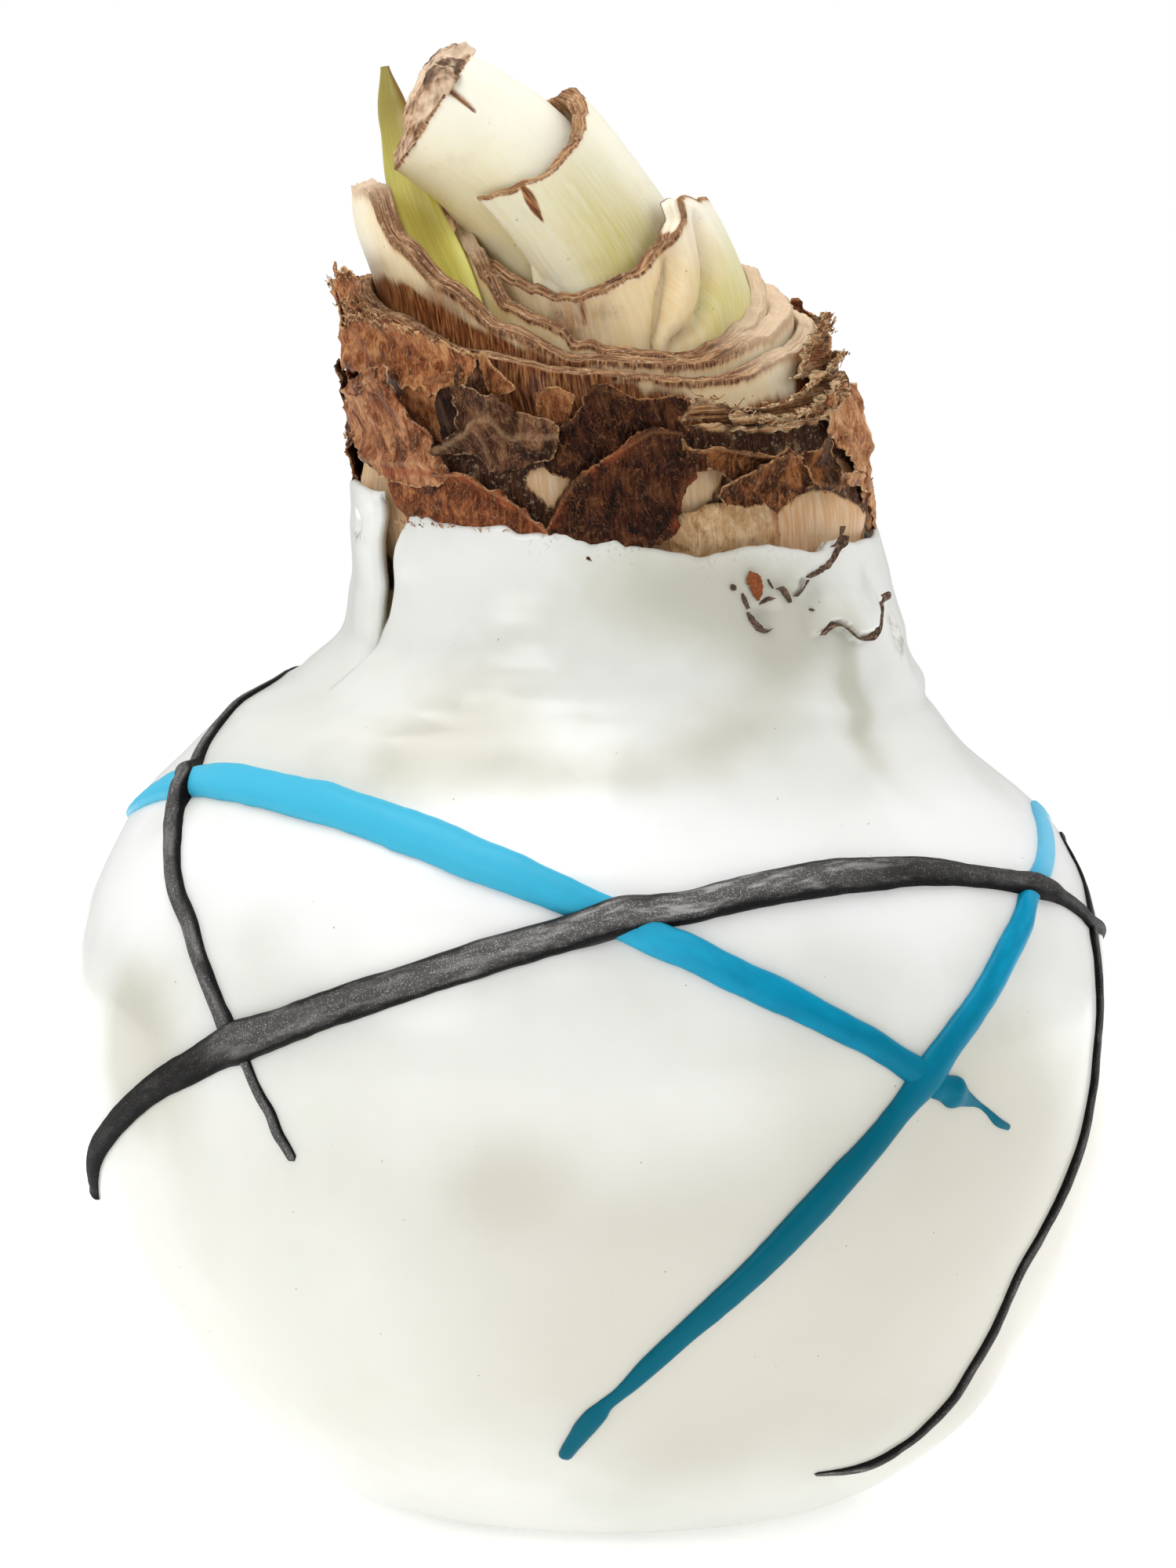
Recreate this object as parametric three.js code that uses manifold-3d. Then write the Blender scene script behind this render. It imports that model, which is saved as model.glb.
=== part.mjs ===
import * as THREE from 'three';
import { mergeVertices } from 'three/addons/utils/BufferGeometryUtils.js';
import Module from 'manifold-3d';

// A waxed amaryllis bulb, in millimetres, +Z up, its front towards -Y.
// The origin is the middle of the flat spot that the bulb rests on.
// Angles are in degrees about +Z: 0 is right (+X), 90 back, 180 left and 270 front.

// Driving dimensions
const waxThickness = 1.5;
const lipThickness = 1.1;
const lipHeight = 0.35;
const gap = 0.35; // clearance kept between pieces that touch
const shelfHeight = 80; // top of the hidden bulb body, which the neck scales stand on
const flatSpotRadius = 18.5;

// Outer wall of the wax: [height, radius]. The widest girth is 90 mm across.
const wallStops = [
  [0, flatSpotRadius], [1.2, 23.2], [4, 28], [9, 33.8], [15, 38.2], [22, 41.8], [30, 44.2], [38, 45],
  [46, 45], [54, 42.7], [60, 39], [65, 33.8], [69, 30], [72, 26.8], [75, 24.6], [79, 23.5], [84, 22.8],
  [92, 22.4],
];

// How far the middle of the wall lies to the right of the origin: [height, shift]
const shiftStops = [
  [0, 1.2], [4, 1.2], [15, -0.2], [30, -0.1], [54, -0.4], [65, -1.5], [69, -1], [72, 1.2], [76, 2.4],
  [80, 2.2], [85, 1.6], [92, 1], [100, -0.6], [112, -2],
];

// Upper edge of the wax round the neck: [angle, height]
const waxEdgeStops = [
  [0, 84.2], [30, 85.5], [60, 86.5], [90, 85.3], [120, 86.2], [150, 87.4], [180, 88.2], [210, 88.6],
  [220, 86.3], [240, 86.5], [265, 85.6], [290, 84.3], [310, 84.8], [325, 83.8], [345, 84.6], [360, 84.2],
];

const colours = {
  wax: '#eef0eb',
  blackWax: '#2d2a2a',
  blueWax: '#1d93b4',
  cream: '#e1d7be',
  paleGreen: '#c9cd97',
  sprout: '#a5af46',
  tunic: '#6e4129',
  darkTunic: '#432a20',
  rustyTunic: '#96552d',
  fibre: '#a97e56',
};

const wasm = await Module();
wasm.setup();

const radians = THREE.MathUtils.degToRad;

// Reads a list of [place, value] stops, easing from one stop to the next.
function readStops(stops, place) {
  const next = stops.findIndex(([at]) => place <= at);
  if (next === 0) return stops[0][1];
  if (next < 0) return stops.at(-1)[1];
  const [from, start] = stops[next - 1];
  const [to, end] = stops[next];
  return start + (end - start) * THREE.MathUtils.smoothstep(place, from, to);
}

// Reads values that are spread evenly over 0 to 1.
function readEven(values, share) {
  return readStops(values.map((value, i) => [i / (values.length - 1), value]), share);
}

function aroundStops(stops, angle) {
  return readStops(stops, THREE.MathUtils.euclideanModulo(angle, 360));
}

const wallLine = new THREE.SplineCurve(
  wallStops.map(([height, radius]) => new THREE.Vector2(radius, height)),
).getPoints(170);

function wallRadius(height) {
  const next = Math.max(1, wallLine.findIndex((point) => point.y >= height));
  const below = wallLine[next - 1];
  const above = wallLine[next];
  return THREE.MathUtils.mapLinear(height, below.y, above.y, below.x, above.x);
}

const wallShift = (height) => readStops(shiftStops, height);
const waxEdge = (angle) => aroundStops(waxEdgeStops, angle);

// A point that lies a distance outside the wax wall, square to it
function onWall(angle, height, distance) {
  const step = 0.2;
  const slope = (wallRadius(height + step) - wallRadius(height - step)) / (2 * step);
  const run = Math.hypot(1, slope);
  const radius = wallRadius(height) + distance / run;
  return new THREE.Vector3(
    wallShift(height) + radius * Math.cos(radians(angle)),
    radius * Math.sin(radians(angle)),
    height - (distance * slope) / run,
  );
}

// Merges a geometry's shared points and moves each one to its place on the bulb.
function reshape(geometry, place) {
  geometry.deleteAttribute('normal');
  geometry.deleteAttribute('uv');
  const merged = mergeVertices(geometry, 1e-4);
  const position = merged.attributes.position;
  const point = new THREE.Vector3();
  for (let i = 0; i < position.count; i++) {
    point.fromBufferAttribute(position, i);
    const moved = place(point);
    position.setXYZ(i, moved.x, moved.y, moved.z);
  }
  merged.computeVertexNormals();
  return merged;
}

function angleOf(point) {
  return THREE.MathUtils.euclideanModulo(THREE.MathUtils.radToDeg(Math.atan2(point.y, point.x)), 360);
}

// A turned solid about +Z from [radius, height] points, its points then moved by place(angle, radius, height)
function turned(points, segments, place) {
  const profile = points.map(([radius, height]) => new THREE.Vector2(radius, height));
  const geometry = new THREE.LatheGeometry(profile, segments).rotateX(Math.PI / 2);
  return reshape(geometry, (point) => place(angleOf(point), Math.hypot(point.x, point.y), point.z));
}

// A closed tube wall. place(angle, through, up) gives a point: through runs from 0 inside to 1 outside,
// and up from 0 at the foot to 1 at the rim.
function tube(segments, rows, place) {
  const profile = [];
  for (let i = 0; i <= rows; i++) profile.push([2, i / rows]);
  for (let i = rows; i >= 0; i--) profile.push([1, i / rows]);
  profile.push([2, 0]);
  return turned(profile, segments, (angle, radius, up) => place(angle, radius - 1, up));
}

// A closed curved sheet. place(across, up, through) gives a point, and each of the three runs from 0 to 1.
function sheet(columns, rows, place) {
  const box = new THREE.BoxGeometry(1, 1, 1, columns, rows, 1);
  return reshape(box, (point) => place(point.x + 0.5, point.y + 0.5, point.z + 0.5));
}

function solidOf(geometry) {
  return new wasm.Manifold(new wasm.Mesh({
    numProp: 3,
    vertProperties: new Float32Array(geometry.attributes.position.array),
    triVerts: new Uint32Array(geometry.index.array),
  }));
}

function geometryOf(solid) {
  const mesh = solid.getMesh();
  const geometry = new THREE.BufferGeometry();
  geometry.setAttribute('position', new THREE.BufferAttribute(mesh.vertProperties, 3));
  geometry.setIndex(new THREE.BufferAttribute(mesh.triVerts, 1));
  geometry.computeVertexNormals();
  return geometry;
}

const bulb = new THREE.Group();

function addPiece(name, geometry, color, roughness = 0.7) {
  const material = new THREE.MeshStandardMaterial({ color, roughness, metalness: 0 });
  const piece = new THREE.Mesh(geometry, material);
  piece.name = name;
  bulb.add(piece);
}

// Wax coat and the bulb inside it

const outerRings = [
  1.2, 2.6, 5, 8.5, 13, 18, 24, 30, 36, 42, 47, 51.5, 56, 59.5, 62.5, 65.5, 68, 70, 72, 74, 77, 80.5,
];
const innerRings = [74.5, 72, 69.5, 66.5, 63, 58.5, 53, 47, 41, 34, 26, 18, 11, 6, 3.2];
const edgeBase = 84; // the wall is drawn up to here, and its last stretch then follows the wavy edge
const waveStart = 74;

// The wall, or a line inside it, as a [radius, height] pair at a height
function wallPoint(height, inset) {
  const point = onWall(0, height, -inset);
  return [point.x - wallShift(height), point.z];
}

function placeOnShell(angle, radius, height) {
  const reach = THREE.MathUtils.smoothstep(height, waveStart, edgeBase);
  const raised = height + reach * (waxEdge(angle) - edgeBase);
  return new THREE.Vector3(
    wallShift(raised) + radius * Math.cos(radians(angle)),
    radius * Math.sin(radians(angle)),
    raised,
  );
}

// The slit beside the left flap, where the wax has parted over a loose scale
const slit = { angle: 211, width: 0.8, from: 76, to: 92, depth: 8, lean: 3 };

function slitCutter() {
  const height = slit.to - slit.from;
  const box = new THREE.BoxGeometry(slit.depth, slit.width, height);
  box.rotateX(radians(slit.lean));
  box.translate(wallRadius(slit.from), 0, slit.from + height / 2);
  box.rotateZ(radians(slit.angle));
  box.translate(wallShift(slit.from), 0, 0);
  return reshape(box, (point) => point.clone());
}

function waxCoat() {
  const lipRadius = wallRadius(edgeBase);
  const floorRadius = flatSpotRadius - 1;
  const profile = [
    [0, 0],
    [flatSpotRadius, 0],
    ...outerRings.map((height) => wallPoint(height, 0)),
    [lipRadius, edgeBase],
    [lipRadius - lipThickness / 2, edgeBase + lipHeight],
    [lipRadius - lipThickness, edgeBase],
    ...innerRings.map((height) => wallPoint(height, waxThickness)),
    [floorRadius, waxThickness],
    [0, waxThickness],
  ];
  const shell = turned(profile, 44, placeOnShell);
  return geometryOf(solidOf(shell).subtract(solidOf(slitCutter())));
}

function bulbBody() {
  const inset = waxThickness + gap;
  const profile = [
    [0, inset],
    [flatSpotRadius - 2, inset],
    ...innerRings.slice(0, -1).reverse().map((height) => wallPoint(height, inset)),
    [wallRadius(shelfHeight) - inset, shelfHeight],
    [0, shelfHeight],
  ];
  return turned(profile, 36, (angle, radius, height) => new THREE.Vector3(
    wallShift(height) + radius * Math.cos(radians(angle)),
    radius * Math.sin(radians(angle)),
    height,
  ));
}

addPiece('wax_coat', waxCoat(), colours.wax, 0.25);
addPiece('bulb_body', bulbBody(), colours.cream);

// Neck scales: upright rings that were cut across. rim is [angle, height] of the cut.
const neckFoot = shelfHeight + gap;
const neckScales = {
  outer_neck_scale: {
    inside: 19.9, outside: 20.8, colour: colours.cream,
    rim: [[0, 95.5], [90, 95], [180, 96.5], [230, 96], [270, 94.5], [300, 95.3], [360, 95.5]],
  },
  middle_neck_scale: {
    inside: 18.1, outside: 19.5, colour: colours.cream,
    rim: [[0, 102.4], [60, 103.6], [120, 105], [170, 106], [210, 104], [240, 101.3], [267, 100], [303, 98.8],
      [334, 101], [360, 102.4]],
  },
  lobed_neck_scale: {
    inside: 15.8, outside: 17.7, flare: 0.9, colour: colours.cream,
    rim: [[0, 104], [60, 104.4], [120, 104.6], [150, 106.5], [168, 112.2], [185, 114.2], [204, 114.5], [215, 110],
      [230, 106.8], [245, 103.5], [267, 101], [300, 100.2], [330, 102.4], [345, 103.4], [360, 104]],
  },
};
const innerScale = {
  inside: 11.5, outside: 12.6, foot: [2.6, -1.4], lean: -0.063,
  rim: [[0, 105], [60, 105.6], [120, 107], [180, 107.5], [205, 107.5], [225, 105.7], [245, 103.2],
    [266, 101.6], [300, 100.9], [325, 101.9], [343, 104.4], [360, 105]],
};

function neckScale({ inside, outside, rim, flare = 0 }) {
  return tube(36, 5, (angle, through, up) => {
    const top = aroundStops(rim, angle);
    const height = neckFoot + up * (top - neckFoot);
    const spread = flare * THREE.MathUtils.smoothstep(height, 104, 114);
    const radius = THREE.MathUtils.lerp(inside, outside, through) + spread;
    return new THREE.Vector3(
      wallShift(height) + radius * Math.cos(radians(angle)),
      radius * Math.sin(radians(angle)),
      height,
    );
  });
}

function innerNeckScale({ inside, outside, foot, lean, rim }) {
  return tube(32, 4, (angle, through, up) => {
    const rise = up * (aroundStops(rim, angle) - neckFoot);
    const radius = THREE.MathUtils.lerp(inside, outside, through);
    return new THREE.Vector3(
      foot[0] + lean * rise + radius * Math.cos(radians(angle)),
      foot[1] + radius * Math.sin(radians(angle)),
      neckFoot + rise,
    );
  });
}

for (const [name, scale] of Object.entries(neckScales)) addPiece(name, neckScale(scale), scale.colour);
addPiece('inner_neck_scale', innerNeckScale(innerScale), colours.cream);

// Leaf bases: sheaths on one curved axis that stands upright in the neck and then leans to the left
const leafAxis = new THREE.CatmullRomCurve3([
  new THREE.Vector3(2.6, -1.4, neckFoot + 0.7),
  new THREE.Vector3(2.2, -1.4, 90),
  new THREE.Vector3(1.5, -1.4, 98),
  new THREE.Vector3(0, -1.3, 105),
  new THREE.Vector3(-3.6, -1.2, 111),
  new THREE.Vector3(-8.4, -1.1, 116.5),
  new THREE.Vector3(-14.1, -1, 120.4),
]);

// A point round the leaf axis. share runs from 0 at the foot to 1 at the far end.
function onLeaf(angle, radius, share) {
  const place = THREE.MathUtils.clamp(share, 0, 1);
  const middle = leafAxis.getPointAt(place);
  const ahead = leafAxis.getTangentAt(place);
  const side = new THREE.Vector3(0, 1, 0);
  const over = side.clone().cross(ahead).normalize();
  side.crossVectors(ahead, over);
  return middle.addScaledVector(over, radius * Math.cos(radians(angle)))
    .addScaledVector(side, radius * Math.sin(radians(angle)));
}

// girth is the outer radius at each share of the axis, and bulge what it gains on its right side.
// end is the share where the sheath was cut, and slant how much further it reaches on its left side.
const foldedLeaf = {
  girth: [[0, 10.9], [0.36, 10.4], [0.66, 8.7]], bulge: [[0.38, 0], [0.56, 2.6], [0.66, 2]],
  thickness: 1.1, end: 0.6, slant: 0.05,
};
const splitLeaf = {
  girth: [[0, 9.4], [0.36, 9], [0.61, 7.3], [0.84, 7.2]], bulge: [[0.4, 0], [0.62, 1.3], [0.84, 1.5]],
  thickness: 1, end: 0.82, slant: 0.01, from: -119, to: 118,
};
const coreLeaf = { girth: [[0, 8], [0.36, 7.6], [0.61, 5.95], [1, 5.9]], bulge: [[0, 0], [1, 0]] };

function sheathRadius({ girth, bulge }, angle, share) {
  return readStops(girth, share) + readStops(bulge, share) * Math.max(0, Math.cos(radians(angle)));
}

function foldedLeafBase() {
  const { thickness, end, slant } = foldedLeaf;
  return tube(30, 9, (angle, through, up) => {
    const share = up * (end - slant * Math.cos(radians(angle)));
    return onLeaf(angle, sheathRadius(foldedLeaf, angle, share) - thickness * (1 - through), share);
  });
}

function splitLeafBase() {
  const { thickness, end, slant, from, to } = splitLeaf;
  return sheet(22, 11, (across, up, through) => {
    const angle = THREE.MathUtils.lerp(from, to, across);
    const share = up * (end - slant * Math.cos(radians(angle)));
    return onLeaf(angle, sheathRadius(splitLeaf, angle, share) - thickness * (1 - through), share);
  });
}

function coreLeafBase() {
  const rows = 14;
  const profile = [[0, 0]];
  for (let i = 0; i <= rows; i++) profile.push([1, i / rows]);
  profile.push([0.8, 1], [0, 1]);
  return turned(profile, 24, (angle, radius, share) => (
    onLeaf(angle, radius * sheathRadius(coreLeaf, angle, share), share)
  ));
}

// The shrivelled leaf tip that dried in the cut end of the core leaf
const witheredTip = { radius: 4.1, thickness: 1.9, offset: 1.8 };

function witheredLeafTip() {
  const { radius, thickness, offset } = witheredTip;
  const ahead = leafAxis.getTangentAt(1);
  const shift = onLeaf(0, offset, 1).sub(onLeaf(0, 0, 1));
  const lump = new THREE.SphereGeometry(1, 14, 8).rotateX(Math.PI / 2);
  return reshape(lump, (point) => {
    const crumple = 1 + 0.1 * Math.sin(5 * Math.atan2(point.y, point.x));
    const reach = radius * crumple * Math.hypot(point.x, point.y);
    const out = thickness * (1 + point.z) + gap;
    return onLeaf(angleOf(point), reach, 1).addScaledVector(ahead, out).add(shift);
  });
}

addPiece('folded_leaf_base', foldedLeafBase(), colours.paleGreen);
addPiece('split_leaf_base', splitLeafBase(), colours.paleGreen);
addPiece('core_leaf_base', coreLeafBase(), colours.paleGreen);
addPiece('withered_leaf_tip', witheredLeafTip(), colours.fibre);

// The green sprout, a flat young leaf that comes up between two scales
const sproutAxis = new THREE.CatmullRomCurve3([
  new THREE.Vector3(-8.8, -9.4, neckFoot),
  new THREE.Vector3(-10.1, -9.5, 92),
  new THREE.Vector3(-11.2, -9.2, 100),
  new THREE.Vector3(-13.6, -5.6, 106.5),
  new THREE.Vector3(-16.5, 2.6, 113),
  new THREE.Vector3(-17.9, 5.4, 119),
  new THREE.Vector3(-18.6, 5.6, 123.6),
]);
const sproutWidths = [2.6, 3.2, 3.6, 3.9, 4, 3.4, 0.5];
const sproutThickness = 1.5;

function greenSprout() {
  return sheet(4, 14, (across, up, through) => {
    const middle = sproutAxis.getPointAt(up);
    const ahead = sproutAxis.getTangentAt(up);
    const face = new THREE.Vector3(-0.55, -0.83, 0).cross(ahead).normalize(); // runs across the blade
    const out = face.clone().cross(ahead);
    const width = readEven(sproutWidths, up);
    const thin = sproutThickness * Math.min(1, width / 2.6);
    const bulge = thin * Math.sqrt(1.05 - (2 * across - 1) ** 2);
    return middle.addScaledVector(face, (across - 0.5) * width).addScaledVector(out, (through - 0.5) * bulge);
  });
}

addPiece('green_sprout', greenSprout(), colours.sprout, 0.4);

// Papery tunics: torn sheets that lie round the neck in thin layers.
// from and to are angles, low and high are heights of the lower and upper edges, spread evenly between them.
const layers = {
  under: [21.1, 21.5], middle: [21.8, 22.2], over: [22.5, 22.9], rim: [19.85, 20.9], stack: [19.85, 22.7],
};
const tunics = {
  tunic_left_fringe: {
    from: 184, to: 244, layer: 'rim', colour: colours.fibre,
    low: [98.5, 98, 97.5, 97.5, 97.5], high: [105.5, 103.5, 104.3, 102.4, 99.5],
  },
  tunic_left_flap: {
    from: 195, to: 235, layer: 'over', colour: colours.tunic,
    low: [93.8, 91.3, 90.2, 90.4, 91.2], high: [95.8, 98, 98.8, 94.6, 92],
  },
  tunic_crumpled: {
    from: 230, to: 260.5, layer: 'middle', colour: colours.darkTunic,
    low: [93.2, 92.6, 92.4, 93, 94.6], high: [94.2, 98, 100.4, 98.6, 96.4],
  },
  tunic_left_band: {
    from: 218, to: 257.5, layer: 'middle', colour: colours.tunic,
    low: [87.8, 87, 87, 87, 86.6], high: [90, 91.3, 91.5, 90, 87.6],
  },
  tunic_centre: {
    from: 259, to: 288.6, layer: 'over', colour: colours.darkTunic,
    low: [86.6, 86.2, 86, 86.6, 89.6], high: [89, 92.6, 94, 95.6, 92.5],
  },
  tunic_centre_upper: {
    from: 262, to: 290, layer: 'middle', colour: colours.darkTunic,
    low: [92, 93, 94, 94.6, 95], high: [95, 97.4, 98.8, 97.6, 96.2],
  },
  tunic_tan_band: {
    from: 276, to: 310, layer: 'under', colour: colours.fibre,
    low: [85.6, 84.8, 84.8, 85.2], high: [86.4, 88.6, 88.8, 88.6],
  },
  tunic_right_rims: {
    from: 291, to: 352, layer: 'stack', colour: colours.fibre,
    low: [96.2, 96.2, 96.4, 96.4], high: [97.8, 98.4, 99.4, 100],
  },
  tunic_right_flap: {
    from: 290.4, to: 331, layer: 'over', colour: colours.tunic,
    low: [90.8, 90, 88.8, 89.2, 91.4], high: [94.6, 93.2, 92.8, 92.6, 92.6],
  },
  tunic_right_edge: {
    from: 334, to: 369, layer: 'middle', colour: colours.tunic,
    low: [87, 85, 84.8, 85], high: [93.6, 95.4, 95.4, 95],
  },
  tunic_back_right: {
    from: 12, to: 100, layer: 'middle', colour: colours.tunic,
    low: [85.4, 86, 87, 86.8, 86.2], high: [96.4, 98, 96.8, 98.8, 96.6],
  },
  tunic_back_left: {
    from: 103, to: 191, layer: 'middle', colour: colours.darkTunic,
    low: [86.6, 87.6, 88.6, 89, 89.2], high: [97.4, 99, 97.2, 98.6, 96],
  },
  tunic_back_fringe: {
    from: 10, to: 176, layer: 'rim', colour: colours.fibre,
    low: [96.6, 96.4, 96.4, 97, 97.6], high: [101.4, 103, 102, 103.8, 104.6],
  },
};
const tunicColumnWidth = 6; // degrees

function tunic({ from, to, low, high, layer }) {
  const [inside, outside] = layers[layer];
  const columns = Math.max(4, Math.round((to - from) / tunicColumnWidth));
  return sheet(columns, 3, (across, up, through) => {
    const angle = THREE.MathUtils.lerp(from, to, across);
    const bottom = Math.max(readEven(low, across), waxEdge(angle) + lipHeight + gap / 2);
    const height = THREE.MathUtils.lerp(bottom, readEven(high, across), up);
    const radius = THREE.MathUtils.lerp(inside, outside, through);
    return new THREE.Vector3(
      wallShift(height) + radius * Math.cos(radians(angle)),
      radius * Math.sin(radians(angle)),
      height,
    );
  });
}

for (const [name, piece] of Object.entries(tunics)) addPiece(name, tunic(piece), piece.colour, 0.85);

// Chips of dry scale that stick out of the wax below its edge, on the right.
// route is [angle, height] points along the chip, tall is its height and proud how far it stands out.
const chips = {
  chip_rusty: {
    route: [[297.4, 82], [300.6, 82.2]], tall: 2.2, proud: 0.5, colour: colours.rustyTunic,
  },
  chip_curled: {
    route: [[294, 81], [296, 79.2], [300, 78.4]], tall: 0.9, proud: 0.7, colour: colours.fibre,
  },
  chip_small: {
    route: [[305, 80.9], [309, 80.4], [313, 81.2]], tall: 0.8, proud: 0.6, colour: colours.darkTunic,
  },
  chip_lip: {
    route: [[316.5, 82.4], [322, 82.6], [327.5, 82.9]], tall: 1, proud: 0.9, colour: colours.fibre,
  },
  chip_hook: {
    route: [[315, 78], [320, 76.8], [327, 76.6], [335, 78.8]], tall: 1.1, proud: 1, colour: colours.tunic,
  },
};

// A smooth line through [angle, height] stops, read as x and y
function turnLine(route) {
  return new THREE.CatmullRomCurve3(route.map(([angle, height]) => new THREE.Vector3(angle, height, 0)));
}

function chip({ route, tall, proud }) {
  const line = turnLine(route);
  return sheet(5, 1, (across, up, through) => {
    const { x: angle, y: height } = line.getPoint(across);
    const fade = 0.35 + 0.65 * Math.sin(Math.PI * across);
    return onWall(angle, height + (up - 0.5) * tall * fade, gap + through * proud * fade);
  });
}

for (const [name, piece] of Object.entries(chips)) addPiece(name, chip(piece), piece.colour, 0.85);

// Raised strands of coloured wax. route is [angle, height], and angles past 360 carry on round the back.
// widths are spread evenly along the strand. over is a list of [angle, lift] where it crosses another colour.
const strandHeight = 0.4; // share of a strand's width that it stands proud
const crossingLift = 1.6;
const crossingReach = [3.4, 8]; // whole lift up to the first distance from a crossing, none past the second
const strandStep = 3.6;

const blackRoutes = [
  {
    route: [[188, 26], [193, 30], [200, 34], [212, 40.2], [226, 45.6], [237, 48.4], [252, 52.8],
      [267, 56.3], [279, 58.1], [299, 59.8], [322, 58.2], [338, 56], [352, 51.4], [372, 46.5], [395, 42]],
    widths: [1, 2, 2.6, 3.1, 3.1, 3.1, 3, 2.8, 2, 1.6, 0.8],
    over: [[272, 57.2], [336, 56.4]],
  },
  {
    route: [[122, 64.5], [145, 69.5], [165, 71], [182, 69.2], [190, 65], [204, 61.2], [214, 56.3],
      [222, 50.7], [227, 45.7], [232, 39.6], [236, 35.7]],
    widths: [0.6, 1, 1.2, 1.6, 1.9, 1.8, 1.6, 1.6, 1.5, 1, 0.5],
    over: [[195, 63.6]],
  },
  {
    route: [[390, 64.5], [375, 61.5], [362, 56.5], [352, 51], [346, 45.3], [344, 39], [340, 34.6],
      [331, 27.5], [328, 19.3], [327, 12.2], [319, 7.8], [310, 6.9], [301, 7.2]],
    widths: [0.5, 0.5, 0.8, 1, 1.1, 1.1, 1.1, 1.1, 1.1, 1, 0.9, 0.8, 0.5],
    over: [],
  },
];
const blueRoutes = [
  {
    route: [[128, 47], [150, 54.5], [172, 61], [187, 63.2], [205, 64.3], [223, 64.9], [244, 63.7],
      [265, 59.9], [284, 53.4], [303, 45.7], [309, 42.9], [314, 40.3], [320, 37.6]],
    widths: [0.8, 2.2, 2.8, 3.2, 3.4, 3.4, 3, 2.8, 3, 2.6, 1, 0.5],
    over: [],
  },
  {
    route: [[378, 64.5], [364, 60], [355, 58.4], [345, 57.5], [333, 55], [325, 52.1], [315, 47.2],
      [308, 43], [301, 37.6], [292, 31.4], [284, 25.7], [276, 20], [271, 15.1], [265, 10.6]],
    widths: [0.6, 1.4, 1.9, 2.1, 2.2, 2.3, 2.4, 2.7, 2.6, 2.2, 1.8, 1.4, 1.4, 1.5],
    over: [],
  },
];

// Half-round section of a strand, one unit wide, its flat side down
const strandSection = new THREE.Shape([
  new THREE.Vector2(-0.5, 0),
  new THREE.Vector2(0.5, 0),
  new THREE.Vector2(0.36, strandHeight * 0.7),
  new THREE.Vector2(0, strandHeight),
  new THREE.Vector2(-0.36, strandHeight * 0.7),
]);

function strand({ route, widths, over }) {
  const line = new THREE.CatmullRomCurve3(route.map(([angle, height]) => onWall(angle, height, gap)));
  const turns = turnLine(route);
  const crossings = over.map(([angle, height]) => onWall(angle, height, gap));
  const steps = Math.round(line.getLength() / strandStep);
  const bar = new THREE.ExtrudeGeometry(strandSection, { depth: 1, steps, bevelEnabled: false });
  return reshape(bar, (point) => {
    const { x: angle, y: height } = turns.getPoint(point.z);
    const middle = onWall(angle, height, gap);
    const ahead = line.getTangent(point.z);
    const out = onWall(angle, height, gap + 1).sub(middle);
    const side = out.clone().cross(ahead).normalize();
    const width = readEven(widths, point.z);
    const far = Math.min(...crossings.map((crossing) => crossing.distanceTo(middle)), Infinity);
    const lift = crossingLift * (1 - THREE.MathUtils.smoothstep(far, ...crossingReach));
    return middle.addScaledVector(out, lift + point.y * width).addScaledVector(side, point.x * width);
  });
}

// Strands of one colour are fused where they cross, so they are one piece.
function strandNet(routes) {
  return geometryOf(routes.map((route) => solidOf(strand(route))).reduce((all, next) => all.add(next)));
}

addPiece('blue_wax_strands', strandNet(blueRoutes), colours.blueWax, 0.3);
addPiece('black_wax_strands', strandNet(blackRoutes), colours.blackWax, 0.4);

export default bulb;
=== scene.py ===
import bisect
import math
import random

import bmesh
import bpy
import numpy
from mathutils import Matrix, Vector, noise


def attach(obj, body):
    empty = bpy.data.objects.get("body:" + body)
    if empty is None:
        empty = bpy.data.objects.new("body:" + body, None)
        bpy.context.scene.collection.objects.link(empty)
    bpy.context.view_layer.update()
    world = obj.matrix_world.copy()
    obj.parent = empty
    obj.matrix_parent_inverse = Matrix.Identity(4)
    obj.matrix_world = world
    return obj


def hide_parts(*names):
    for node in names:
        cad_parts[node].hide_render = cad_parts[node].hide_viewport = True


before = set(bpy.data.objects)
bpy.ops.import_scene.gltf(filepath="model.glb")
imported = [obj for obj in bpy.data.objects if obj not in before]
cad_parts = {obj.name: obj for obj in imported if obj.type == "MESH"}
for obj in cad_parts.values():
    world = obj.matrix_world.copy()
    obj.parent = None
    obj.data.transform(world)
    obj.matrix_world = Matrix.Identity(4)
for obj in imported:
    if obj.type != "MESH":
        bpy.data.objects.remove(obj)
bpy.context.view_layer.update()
scene = bpy.context.scene
mm = 0.001

# Lengths below are in millimetres and angles in degrees about +Z: 0 right, 90 back, 180 left, 270 front.


def shade(code):
    # a colour code as linear light
    parts = [int(code[i:i + 2], 16) / 255 for i in (0, 2, 4)]
    return tuple(p / 12.92 if p <= 0.04045 else ((p + 0.055) / 1.055) ** 2.4 for p in parts) + (1,)


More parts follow.
